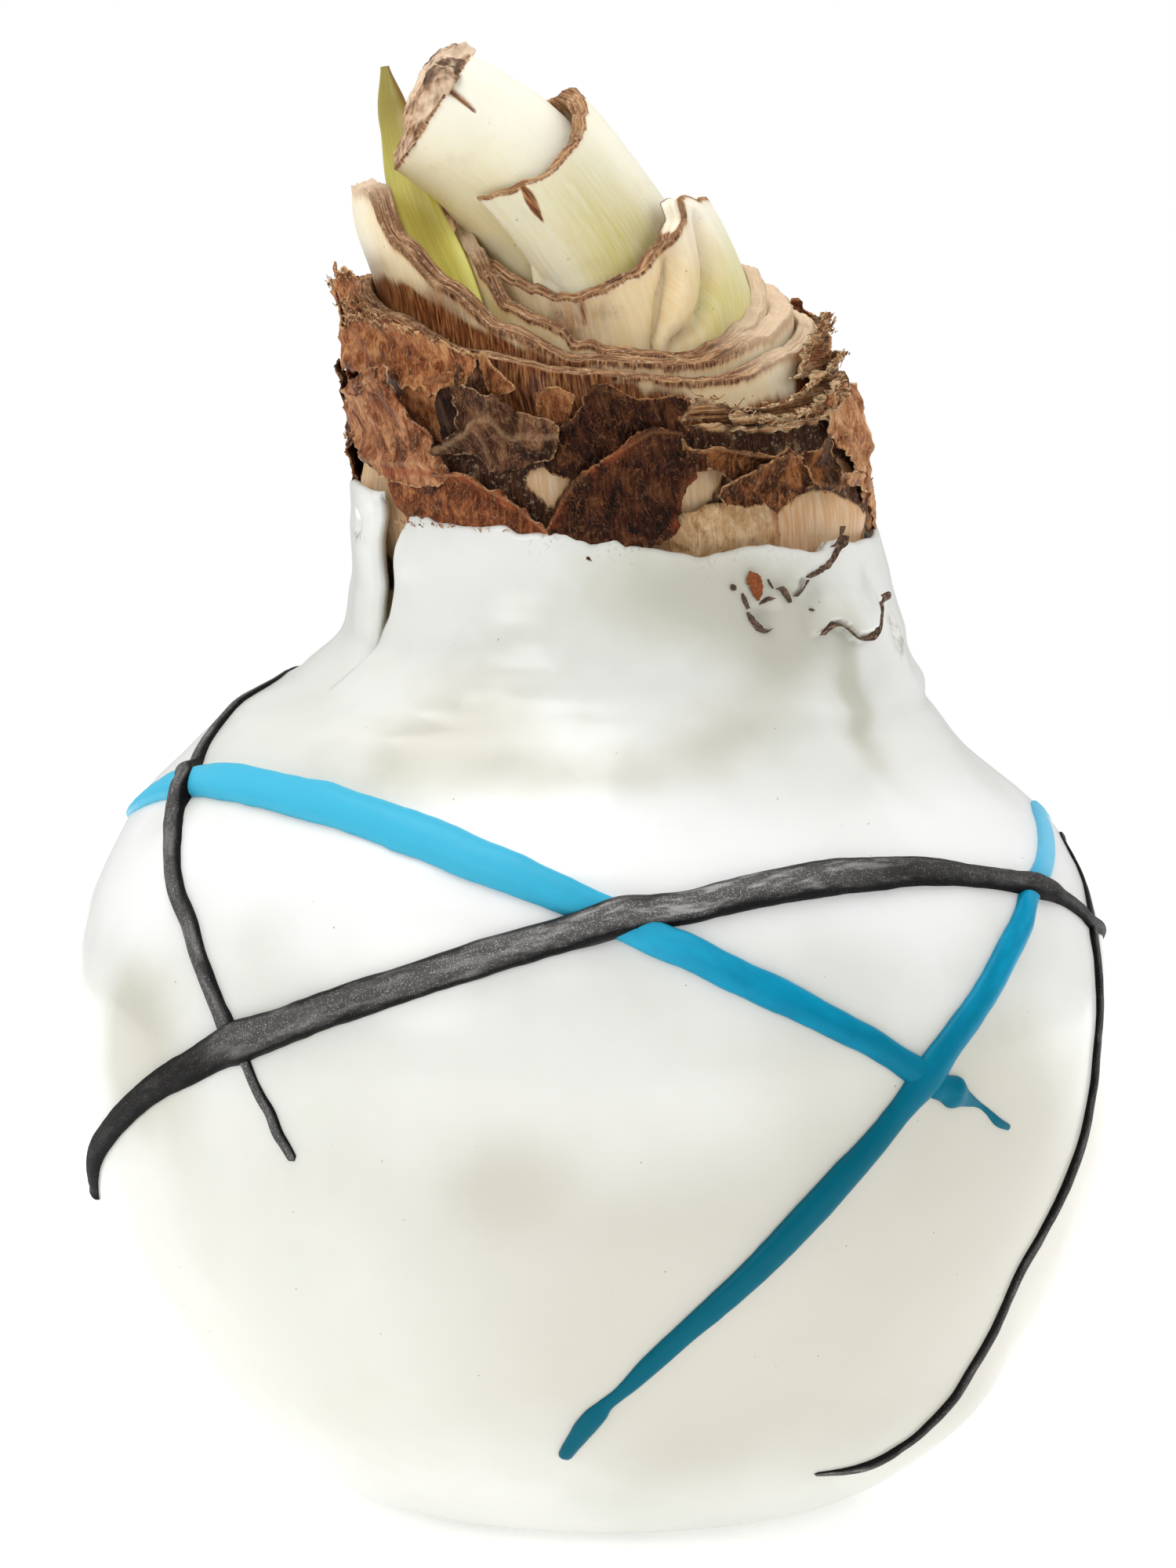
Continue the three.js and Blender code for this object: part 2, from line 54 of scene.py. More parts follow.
class Wire:
    # one output of a node, so that shader maths reads as sums
    def __init__(self, board, socket):
        self.board, self.socket = board, socket

    def maths(self, operation, first, second):
        return self.board.add("ShaderNodeMath", {"operation": operation}, {0: first, 1: second})

    def __add__(self, other):
        return self.maths("ADD", self, other)

    def __sub__(self, other):
        return self.maths("SUBTRACT", self, other)

    def __rsub__(self, other):
        return self.maths("SUBTRACT", other, self)

    def __mul__(self, other):
        return self.maths("MULTIPLY", self, other)

    def __gt__(self, other):
        return self.maths("GREATER_THAN", self, other)

    def __abs__(self):
        return self.maths("ABSOLUTE", self, 0)

    __radd__, __rmul__ = __add__, __mul__


class Board:
    # the node board of one finish
    def __init__(self, name, world=False):
        self.owner = (bpy.data.worlds if world else bpy.data.materials).new(name)
        self.owner.use_nodes = True
        self.tree = self.owner.node_tree
        self.shader = self.tree.nodes["Background" if world else "Principled BSDF"]

    def fill(self, node, inputs):
        for key, value in inputs.items():
            if isinstance(value, Wire):
                self.tree.links.new(value.socket, node.inputs[key])
            else:
                node.inputs[key].default_value = shade(value) if isinstance(value, str) else value

    def add(self, kind, settings, inputs, output=0):
        node = self.tree.nodes.new(kind)
        for key, value in settings.items():
            if key == "stops":
                ramp = node.color_ramp.elements
                for place, colour in value[1:-1]:
                    ramp.new(place)
                for stop, (place, colour) in zip(ramp, value):
                    stop.position, stop.color = place, shade(colour)
            else:
                setattr(node, key, value)
        self.fill(node, inputs)
        return Wire(self, node.outputs[output])

    def mix(self, factor, first, second):
        return self.add("ShaderNodeMix", {"data_type": "RGBA"}, {0: factor, 6: first, 7: second}, 2)

    def over(self, colour, *coats):
        # lays coats of (amount, colour) over a colour, one after the other
        for amount, tint in coats:
            colour = self.mix(amount, colour, tint)
        return colour

    def ramp(self, factor, stops):
        return self.add("ShaderNodeValToRGB", {"stops": stops}, {0: factor})

    def mark(self, name):
        return self.add("ShaderNodeAttribute", {"attribute_name": name}, {}, 1)

    def parts(self, vector):
        node = self.tree.nodes.new("ShaderNodeSeparateXYZ")
        self.fill(node, {0: vector})
        return [Wire(self, output) for output in node.outputs]

    def place(self):
        return self.add("ShaderNodeTexCoord", {}, {}, 3)

    def stretch(self, vector, amounts):
        return self.add("ShaderNodeVectorMath", {"operation": "MULTIPLY"}, {0: vector, 1: amounts})

    def clouds(self, vector, scale, detail=4.0, rough=0.55, warp=0.0):
        return self.add("ShaderNodeTexNoise", {}, {"Vector": vector, "Scale": scale, "Detail": detail,
                                                   "Roughness": rough, "Distortion": warp})

    def cells(self, vector, scale, output=0):
        return self.add("ShaderNodeTexVoronoi", {}, {"Vector": vector, "Scale": scale}, output)

    def specks(self, vector, scale, small, large, share):
        # round specks in some of the cells
        size, pick = self.cells(vector, scale), self.parts(self.cells(vector, scale, 1))[0]
        return (1 - self.soft(size, small, large)) * (pick > share)

    def soft(self, value, low, high):
        # from 0 at low to 1 at high, either way round
        return self.add("ShaderNodeMapRange", {"interpolation_type": "SMOOTHSTEP"}, {0: value, 1: low, 2: high})

    def bump(self, height, distance, strength=1.0, under=None):
        inputs = {"Height": height, "Distance": distance * mm, "Strength": strength}
        if under:
            inputs["Normal"] = under
        return self.add("ShaderNodeBump", {}, inputs)

    def done(self, **inputs):
        self.fill(self.shader, {key.replace("_", " "): value for key, value in inputs.items()})
        return self.owner


# camera, floor and light

studio = {
    "aim": (-0.68, 0, 62), "distance": 800, "elevation": 9, "lens": 212.07, "sensor": 36, "clip": (0.01, 20),
    "backdrop": 1.0, "fill": 0.42, "floor": 450, "floorSides": 96, "floorGlow": 0.34,
    "litPoint": (0, 0, 60), "floorDrop": 0.05, "glossy": 2,  # only the first two boxes show in the gloss
    # softboxes: place, size, power in watts
    "boxes": [((-120, 20, 640), 420, 2.2), ((-380, -400, 330), 280, 0.75), ((400, 330, 340), 300, 1.2),
              ((-430, 320, 300), 300, 0.5), ((400, -340, 330), 300, 0.5)],
}


def placeCamera():
    data = bpy.data.cameras.new("camera")
    data.lens, data.sensor_width = studio["lens"], studio["sensor"]
    data.clip_start, data.clip_end = studio["clip"]
    camera = bpy.data.objects.new("camera", data)
    scene.collection.objects.link(camera)
    tilt = math.radians(studio["elevation"])
    back = Vector((0, -math.cos(tilt), math.sin(tilt))) * studio["distance"]
    camera.location = (Vector(studio["aim"]) + back) * mm
    camera.rotation_euler = (math.pi / 2 - tilt, 0, 0)
    scene.camera = camera


def lightStudio():
    scene.view_settings.view_transform = "Standard"
    board = Board("studio air", world=True)
    seen = board.add("ShaderNodeLightPath", {}, {})
    board.fill(board.shader, {"Color": (1, 1, 1, 1),
                              "Strength": seen * (studio["backdrop"] - studio["fill"]) + studio["fill"]})
    scene.world = board.owner
    for number, (spot, size, power) in enumerate(studio["boxes"]):
        data = bpy.data.lights.new("softbox%d" % number, "AREA")
        data.shape, data.size, data.energy = "SQUARE", size * mm, power
        box = bpy.data.objects.new("softbox%d" % number, data)
        scene.collection.objects.link(box)
        box.location = Vector(spot) * mm
        way = Vector(studio["litPoint"]) - Vector(spot)
        box.rotation_euler = way.to_track_quat("-Z", "Y").to_euler()
        box.visible_glossy = number < studio["glossy"]


def layFloor():
    board = Board("floor white")
    tone = board.mix(board.clouds(board.place(), 6), "fbfbfb", "fefefe")
    shape = bmesh.new()
    bmesh.ops.create_circle(shape, cap_ends=True, segments=studio["floorSides"],
                             radius=studio["floor"] * mm)
    bmesh.ops.translate(shape, vec=(0, 0, -studio["floorDrop"] * mm), verts=shape.verts)
    mesh = bpy.data.meshes.new("studioFloor")
    shape.to_mesh(mesh)
    shape.free()
    mesh.materials.append(board.done(Base_Color=tone, Roughness=0.9, Specular_IOR_Level=0.1,
                                     Emission_Color=(1, 1, 1, 1), Emission_Strength=studio["floorGlow"]))
    floor = bpy.data.objects.new("studioFloor", mesh)
    scene.collection.objects.link(floor)


placeCamera()
lightStudio()
layFloor()
print("studio is set")


# reading lists, noise and lines

def ease(low, high, value):
    share = min(1, max(0, (value - low) / (high - low)))
    return share * share * (3 - 2 * share)


def readStops(stops, place):
    # eases from one [place, value] stop to the next
    if place <= stops[0][0]:
        return stops[0][1]
    for (start, first), (end, last) in zip(stops, stops[1:]):
        if place <= end:
            return first + (last - first) * ease(start, end, place)
    return stops[-1][1]


def readEven(values, share):
    return readStops([(i / (len(values) - 1), value) for i, value in enumerate(values)], share)


def speckle(x, y=0.0, z=0.0):
    return noise.noise(Vector((x, y, z)))


def ringNoise(angle, size, across=0.0):
    # noise round a ring with no seam; size is the ring's radius over the width of one bump
    turn = math.radians(angle)
    return noise.noise(Vector((size * math.cos(turn), size * math.sin(turn), across)))


def smoothLine(stops, count):
    # evenly numbered places on a smooth line through the stops
    points, line, last = [Vector(stop) for stop in stops], [], len(stops) - 1
    for step in range(count + 1):
        spot = step / count * last
        at = min(int(spot), last - 1)
        part = spot - at
        a, b, c, d = points[max(at - 1, 0)], points[at], points[at + 1], points[min(at + 2, last)]
        line.append(0.5 * (2 * b + (c - a) * part + (2 * a - 5 * b + 4 * c - d) * part ** 2
                           + (3 * b - a - 3 * c + d) * part ** 3))
    return line


def bump(angle, height, middle, level, wide, tall):
    # a round swelling on the wall, 1 at its middle
    return math.exp(-((angle - middle) / wide) ** 2 - ((height - level) / tall) ** 2)


def bell(away, wide):
    # 1 at nothing, falling to 0 beyond twice the width
    return math.exp(-(away / wide) ** 2)


def ringSpot(turn, radius, level=0.0):
    # a place on a level ring round the origin
    return Vector((radius * math.cos(turn), radius * math.sin(turn), level))


# shapes

def newShape():
    shape = bmesh.new()
    shape.verts.layers.float_vector.new("grain")  # where the fibres run
    shape.verts.layers.float_vector.new("marks")  # how dry, tone, and a mark of the piece's own
    return shape


def setVert(shape, vert, made):
    point, grain, marks = made
    vert.co = point * mm
    vert[shape.verts.layers.float_vector["grain"]] = grain
    vert[shape.verts.layers.float_vector["marks"]] = marks


def layGrid(shape, columns, rows, place):
    # a grid whose points go to place(across, up), both from 0 to 1
    verts = bmesh.ops.create_grid(shape, x_segments=columns, y_segments=rows, size=0.5)["verts"]
    for vert in verts:
        setVert(shape, vert, place(vert.co.x + 0.5, vert.co.y + 0.5))


def thicken(shape, thickness):
    # turns a sheet into a closed skin
    bmesh.ops.recalc_face_normals(shape, faces=shape.faces)
    bmesh.ops.solidify(shape, geom=shape.faces[:], thickness=thickness * mm)


def addPiece(shape, name, finish, slot, *nodes):
    bmesh.ops.remove_doubles(shape, verts=shape.verts, dist=2e-7)
    bmesh.ops.recalc_face_normals(shape, faces=shape.faces)
    for face in shape.faces:
        face.smooth = True
    mesh = bpy.data.meshes.new(name)
    shape.to_mesh(mesh)
    shape.free()
    mesh.materials.append(finish)
    piece = bpy.data.objects.new(name, mesh)
    scene.collection.objects.link(piece)
    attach(piece, "root")
    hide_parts(*nodes)
    print(name, len(mesh.polygons), "faces")


# wax coat

waxCoat = {
    "wall": [(0, 18.5), (1.2, 23.2), (4, 28), (9, 33.8), (15, 38.2), (22, 41.8), (30, 44.2), (38, 45), (46, 45),
             (54, 42.7), (60, 39), (65, 33.8), (69, 30), (72, 26.8), (75, 24.6), (79, 23.5), (84, 22.8), (92, 22.4)],
    "shift": [(0, 1.2), (4, 1.2), (15, -0.2), (30, -0.1), (54, -0.4), (65, -1.5), (69, -1), (72, 1.2), (76, 2.4),
              (80, 2.2), (85, 1.6), (92, 1), (100, -0.6), (112, -2)],
    "edge": [(0, 83.9), (30, 85.3), (60, 86.4), (90, 85.3), (120, 86.2), (150, 87.4), (180, 88.2), (192.7, 88.5),
             (205.7, 88.7), (212, 88.6), (214.5, 88), (216, 86.4), (220, 86.4), (224, 86.8), (228, 86.5),
             (237.7, 86.4), (245.4, 86.7), (249, 86), (254.3, 86.3), (259.1, 86.4), (263, 85.8), (265, 85.4),
             (268.4, 85.8), (270.1, 85.9), (272, 85.2), (277.8, 85.1), (282.9, 84.7), (288.5, 84.2), (293, 84.4),
             (300.5, 84.9), (304.9, 84.9), (308.6, 84.5), (313.3, 84.3), (317, 83.8), (319.5, 83.8), (323, 84.5),
             (327, 84.5), (331.3, 84), (337.4, 83.9), (348.7, 83.7), (360, 83.9)],
    # how far apart the columns stand, in degrees: fine beside the slit and at the hook
    "columnSteps": [(0, 0.5), (8, 0.6), (16, 1.25), (76, 1.25), (84, 0.62), (132, 0.62), (140, 1.25), (340, 1.25),
                    (350, 0.55)],
    "rowSteps": [(0, 0.5), (6, 1.3), (58, 1.4), (66, 0.8), (72, 0.42), (76, 0.28), (84, 0.28)],
    "footRings": [0, 5, 10, 14, 17, 18.5], "firstRow": 0.3, "lastRow": 83.8,
    "thickness": 1.1, "waveStart": 74, "edgeBase": 84,
    # waves of the wall, how high and how long; then ripples: from what height, how high, how long round and up
    "lumps": [(0.24, 13), (0.1, 5.5), (0.02, 1.7)], "ripples": (62, 0.07, 6, 1.6), "footSmooth": (0.5, 7),
    "lip": [(0.05, 0.2), (0.18, 0.38), (0.38, 0.5), (0.6, 0.52)],
    # the slit beside the loose flap: its line, and how many degrees it gapes at each height
    "slit": [(70, 206), (72, 206.4), (73.4, 207), (75.4, 208.4), (78.2, 209.8), (81, 210), (83, 209.6), (84.9, 209.8),
             (86.7, 211.6), (87.9, 212), (89, 211)],
    "slitFar": [(70, 206), (72, 206.4), (73.4, 207.1), (75.4, 208.6), (77.6, 209.9), (80.3, 210.5), (83, 211),
                (84.4, 212.2), (85.6, 214.4), (86.9, 217.8), (88, 218.6)],
    # where the sheet starts and ends, then how its two edges stand: rim height, sunk or lifted, gape
    "slitColumn": 210, "farRim": 86.9, "farSunk": 0.3, "farGape": 0.35, "flapRim": 88.5, "flapLift": 0.95,
    "gape": 0.5,
    # the edge of a buried scale that the wax folds over, and a torn lip above it: the line, how far it stands
    # out, where it starts below the line, how it falls off above, and where it begins and ends
    "ridges": [
        ([(311, 77.4), (314.2, 77.7), (316.3, 78.3), (318.7, 78.3), (322, 77.7), (324.8, 76.9), (328.4, 76.7),
          (331.2, 77), (333, 77.7), (334, 78.8), (335, 80.2)], 1.15, -0.12, (0.8, 4), (311, 316), (333, 336)),
        ([(309, 81.7), (311.9, 82.3), (315.5, 82.6), (317.7, 82.9), (320.2, 83.2), (323.7, 84.2), (327, 85)],
         0.55, -0.1, (0.5, 2), (309, 312), (325, 328)),
    ],
    # soft dents and swellings: angle, height, how wide, how tall, how far out
    "dents": [(326, 71.5, 10, 5.5, -0.9), (322, 66, 6, 3.2, -0.6), (299.8, 79.8, 2.6, 1.0, -0.5),
              (297.5, 77.6, 5, 1.4, 0.25), (262, 27, 12, 8, -0.35), (285, 38, 12, 8, -0.35), (240, 20, 10, 7, -0.3),
              (300, 70, 10, 4, 0.35), (262, 68, 9, 3, -0.35), (245, 79, 9, 2.5, 0.22), (271, 81.5, 8, 1.5, 0.2),
              (283, 74.6, 9, 1.6, -0.28), (197, 85.6, 3.5, 0.8, -0.7), (312, 8, 7, 4, 0.4), (206, 62, 9, 4, 0.3),
              (345, 74, 6, 2.5, 0.5), (304, 80.9, 2.2, 0.7, 0.4), (309.5, 81.6, 2.2, 0.6, 0.45)],
}
# painted shade: greyer, yellower patches laid on the wax where it lies in shade: angle, height, how wide, how tall,
# how strong
waxShadeTints = [(261, 35, 8, 5.5, 0.9), (303, 22, 16, 11, 0.8), (318, 36, 15, 10, 1.3), (305, 78, 13, 5.5, 0.9),
            (225, 62, 6, 7, 0.3), (245, 10, 12, 6, 0.3), (292, 70, 12, 3.5, 0.6), (323, 72.5, 5, 6, 1.0),
            (240, 80, 14, 5, 0.25), (282, 82, 26, 5.5, 0.85), (244, 70, 14, 6, 0.9), (265, 67.5, 20, 3, 0.6),
            (214, 42, 8, 8, 1.2), (90, 40, 14, 9, 0.6), (60, 66, 12, 5, 0.5), (130, 24, 12, 8, 0.6),
            (100, 78, 16, 5, 0.5), (20, 30, 10, 9, 0.6), (160, 50, 9, 8, 0.4)]
wallLine = smoothLine(waxCoat["wall"], 170)
wallHeights = [point.x for point in wallLine]


def wallRadius(height):
    after = min(len(wallLine) - 1, max(1, bisect.bisect_left(wallHeights, height)))
    below, above = wallLine[after - 1], wallLine[after]
    return below.y + (above.y - below.y) * (height - below.x) / (above.x - below.x)


def wallShift(height):
    return readStops(waxCoat["shift"], height)


def waxEdge(angle):
    wave = 0.16 * ringNoise(angle, 9) + 0.07 * ringNoise(angle, 21, 3)
    return readStops(waxCoat["edge"], angle % 360) + wave


def neckPoint(angle, radius, height):
    turn = math.radians(angle)
    return Vector((wallShift(height) + radius * math.cos(turn), radius * math.sin(turn), height))


def waxRelief(angle, height):
    # how far the wax stands out from the plain wall
    angle = angle % 360
    spot = neckPoint(angle, wallRadius(height), height)
    soft = sum(high * noise.noise(spot / long) for high, long in waxCoat["lumps"])
    start, high, long, tall = waxCoat["ripples"]
    if height > start:
        soft += high * noise.noise(Vector((spot.x / long, spot.y / long, spot.z / tall)))
    for middle, level, wide, tall, depth in waxCoat["dents"]:
        if abs(angle - middle) < 3 * wide and abs(height - level) < 3 * tall:
            soft += depth * bump(angle, height, middle, level, wide, tall)
    if 308 < angle < 340 and height > 72:
        for line, rise, start, fall, begin, end in waxCoat["ridges"]:
            over = height - readStops(line, angle)
            soft += rise * ease(start, 0.2, over) * (1 - ease(*fall, over)) * ease(*begin, angle) * (
                1 - ease(*end, angle))
    return soft * ease(*waxCoat["footSmooth"], height)


def onWax(angle, height, out=0.0, relief=True):
    # a point a distance outside the wax, square to its wall
    radius = wallRadius(height)
    slope = (wallRadius(height + 0.2) - wallRadius(height - 0.2)) / 0.4
    run = math.hypot(1, slope)
    if relief:
        out += waxRelief(angle, height)
    turn, reach = math.radians(angle), radius + out / run
    level = height - out * slope / run
    return Vector((wallShift(height) + reach * math.cos(turn), reach * math.sin(turn), max(level, 0)))


def outOfWax(angle, height):
    # which way is square to the wall
    return (onWax(angle, height, 1, False) - onWax(angle, height, 0, False)).normalized()


def readLine(stops, place):
    # straight lines from one [place, value] stop to the next
    for (start, first), (end, last) in zip(stops, stops[1:]):
        if place <= end or (end, last) == stops[-1]:
            return first + (last - first) * min(1, max(0, (place - start) / (end - start)))


def placeWax(angle, level):
    # angle runs from the slit's far edge once round to the flap's edge; level stops at the wax's rim, then its lip
    wax, foot, base = waxCoat, waxCoat["slitColumn"], waxCoat["edgeBase"]
    lip, level = max(0, level - base), min(level, base)
    far, flap = angle - foot, foot + 360 - angle
    edge = waxEdge(angle)
    if far < 16:
        edge += (wax["farRim"] - edge) * (1 - ease(4, 16, far))
    if flap < 12:
        edge += (wax["flapRim"] - edge) * (1 - ease(2, 12, flap))
    height = level + ease(wax["waveStart"], base, level) * (edge - base)
    angle += (1 - ease(0, 18, far)) * (readLine(wax["slitFar"], height) - foot)
    angle += (1 - ease(0, 26, flap)) * (readLine(wax["slit"], height) - foot)
    side = wax["gape"] * (1 - ease(0, 1.6, flap)) * ease(73.6, 75, height)
    side += wax["farGape"] * (1 - ease(0, 1.6, far)) * ease(77, 79, height)
    inset = readStops([(0, 0)] + [(up, away) for away, up in wax["lip"]], lip)
    lift = wax["flapLift"] * ease(24, 2, flap) * ease(73.4, 79, height)
    lift -= wax["farSunk"] * ease(14, 0, far) * ease(74, 80, height)
    return onWax(angle, height, lift - inset - side) + Vector((0, 0, lip)), height


def waxFinish():
    board = Board("white wax")
    place = board.place()
    dry, tone, mark = board.parts(board.mark("marks"))
    side, level = board.parts(place)[::2]
    level = level + board.clouds(place, 40, 2) * 0.02
    patch = board.soft(board.clouds(place, 55, 3), 0.35, 0.7)
    yellow = board.soft(board.clouds(place, 160, 2), 0.62, 0.8)
    # painted shade: greyer, yellower where the tint patches of the coat lie, where the wax is in shade
    thin = board.soft(tone + (board.clouds(place, 110, 3) - 0.5) * 0.5, 0.1, 1)
    # painted light: the upward-facing shoulder band is painted whiter, where the top light falls
    litShoulder = board.soft(level, 0.06, 0.068) * board.soft(level, 0.0765, 0.0705)
    # painted shade: the lower body is painted greyer, more so on the right, where it lies in shade
    low = board.soft(level, 0.06, 0.042) * board.soft(level, 0.012, 0.026)
    low = low * (board.soft(side, -0.03, 0.002) * 0.7 + 0.3)
    speck = board.specks(place, 520, 0.02, 0.06, 0.62)
    grit = board.soft(board.clouds(place, 2600, 3), 0.56, 0.7) * dry
    grit = grit * board.soft(board.clouds(place, 260, 2), 0.45, 0.6)
    smudge = board.soft(board.clouds(place, 700, 3), 0.42, 0.62) * mark
    colour = board.over(board.mix(patch, "eeeee8", "e3e4dc"), (yellow * 0.35, "dfe0cd"), (thin * 0.75, "bcbaa6"),
                        (litShoulder * 0.9, "fcfcf9"), (low * 0.9, "cdcabd"), (speck * 0.75, "8d8a80"),
                        (grit * 0.8, "a3876a"), (smudge, "6d5a50"))
    fine = board.bump(speck, 0.05, 0.5, board.bump(board.clouds(place, 420, 3), 0.1, 0.35))
    return board.done(Base_Color=colour, Roughness=board.clouds(place, 90, 2) * 0.1 + 0.27, Normal=fine,
                      Subsurface_Weight=0.3, Subsurface_Radius=(1.0, 0.95, 0.8), Subsurface_Scale=0.0022,
                      Coat_Weight=0.35, Coat_Roughness=0.12, IOR=1.44)


def makeWaxCoat():
    shape, base = newShape(), waxCoat["edgeBase"]
    levels, turns, rings = [waxCoat["firstRow"]], [0], waxCoat["footRings"]
    while levels[-1] < waxCoat["lastRow"]:
        levels.append(min(levels[-1] + readStops(waxCoat["rowSteps"], levels[-1]), base))
    while turns[-1] < 360:
        turns.append(min(360, turns[-1] + readLine(waxCoat["columnSteps"], turns[-1])))
    levels += [base + stop[1] for stop in waxCoat["lip"]]
    rows = len(rings) + len(levels) - 1

    def place(across, up):
        angle, row = waxCoat["slitColumn"] + turns[round(across * (len(turns) - 1))], round(up * rows)
        if row < len(rings):
            return neckPoint(angle, rings[row], 0), Vector((angle, 0, 0)), Vector()
        level = levels[row - len(rings)]
        spot, height = placeWax(angle, level)
        angle %= 360
        dry = ease(81.5, 84.3, level) * (0.35 + 0.5 * ease(210, 235, angle) * (1 - ease(235, 300, angle)))
        smudge = max(bump(angle, height, 197, 84.6, 6, 0.6), bump(angle, height, 344, 76, 2.5, 1.6))
        # painted shade: the tint patches darken the wax where it lies in shade
        tint = sum(strength * bump(angle, height, *spread) for *spread, strength in waxShadeTints)
        return spot, Vector((angle, height, 0)), Vector((dry, min(1, tint), min(1, smudge)))

    layGrid(shape, len(turns) - 1, rows, place)
    bmesh.ops.remove_doubles(shape, verts=shape.verts, dist=2e-6)
    thicken(shape, waxCoat["thickness"])
    addPiece(shape, "waxCoat", waxFinish(), "white_wax", "wax_coat")


makeWaxCoat()


# strands of poured wax

strandMesh = {"around": 20, "step": 0.3, "sunk": 0.35, "roundness": 0.85, "waver": [(0.04, 5), (0.015, 1.3)],
              "rough": 0.03, "overReach": (1.2, 4.2)}
blackStrands = {
    "tall": 0.42,  # how tall for its width
    # stops of [angle, height, width]
    "strands": [
        # the long one, from the left edge over the front and round to the back
        [(186, 26.6, 0.8), (187.5, 27.4, 1.3), (193, 29.8, 1.9), (199, 32.9, 2.2), (209.9, 38, 2.3),
         (216.9, 40.9, 2.6), (222.5, 43, 2.9), (227.3, 45, 3.2), (231.6, 46.4, 3.4), (235.6, 47.6, 3.2),
         (239.4, 48.9, 3.15), (243, 50, 3.2), (250, 52, 3.1), (256.8, 53.8, 3.15), (263.6, 55.3, 3.1),
         (267.2, 56, 3.1), (270.7, 56.6, 3.1), (274.3, 57.3, 3), (278, 57.7, 2.9), (281.8, 57.9, 2.8),
         (285.7, 58.4, 2.85), (289.8, 58.8, 3), (294, 59.1, 3.1), (298.3, 59.3, 3.25), (302.7, 59.4, 3.2),
         (307.3, 59.3, 3.1), (312.1, 59.2, 2.9), (316.9, 58.8, 2.6), (321.9, 58.2, 2.2), (327.3, 57.4, 2.1),
         (332, 56.5, 2), (339.6, 54.6, 1.6), (344.9, 52.9, 1.5), (348.6, 51.5, 1.5), (358, 49.6, 1.2),
         (362, 48.9, 1.1), (372, 46.5, 1.2), (384, 44, 0.9), (395, 42, 0.4)],
        # the one that comes down over the left shoulder
        [(122, 64.5, 0.5), (133, 67.6, 0.6), (145, 69.3, 0.7), (156, 70.4, 0.6), (165, 70.8, 0.5), (175, 70.6, 0.8),
         (182, 69.4, 1.2), (188, 67, 1.5), (198, 64.4, 1.7), (202.1, 63.5, 1.8), (204.1, 61.7, 2), (207.4, 60.2, 2),
         (210.1, 58.5, 1.9), (213.5, 56.3, 1.8), (217.7, 54.2, 1.75), (220.4, 52.2, 1.7), (223.2, 50.2, 1.65),
         (225.6, 48.2, 1.6), (226.9, 47.1, 1.8), (228.8, 45.3, 1.6), (230.2, 44.1, 1.05), (231.4, 42.4, 1),
         (232.4, 41.2, 1.05), (233.5, 40.1, 1.1), (234.4, 38.5, 1.1), (235.3, 37.5, 1), (236.4, 36.2, 0.9)],
        # the one down the right edge
        [(392, 48, 0.3), (380, 52, 0.35), (370, 55.5, 0.4), (363, 57.2, 0.45), (358, 56.6, 0.5), (355, 54, 0.65),
         (348.3, 50.5, 1.35), (346.9, 48.6, 1.25), (345, 46.2, 1.25), (343.6, 43.7, 1.2), (341.8, 41.2, 1.25),
         (340.8, 38.6, 1.3), (339.2, 36.1, 1.3), (337.5, 33.6, 1.35), (335.1, 31.2, 1.4), (333, 28.8, 1.35),
         (330.4, 26.3, 1.3), (328.2, 23.8, 1.3), (327.4, 21.1, 1.25), (327.3, 18.2, 1.3), (327.3, 15.3, 1.3),
         (326.8, 12.4, 1.35), (323.6, 9.8, 1.3), (320.7, 8.4, 1.2), (314.8, 7.6, 1.35), (308.9, 7.3, 0.9),
         (303, 7.3, 0.45)],
    ],
    # where wax gathered: angle, height, reach, how much wider
    "knots": [(186, 26.6, 1.2, 0.5), (229, 45.7, 1.6, 0.12), (334, 56.7, 1.6, 0.12), (275, 57.2, 2.2, 0.08),
              (318.5, 7.6, 0.9, 0.15)],
    # where a strand runs over one of the other colour: angle, height, how far it is lifted
    "over": [(272, 57.2, 0.75), (336, 56.4, 0.5), (201.5, 63.9, 1.15)],
}
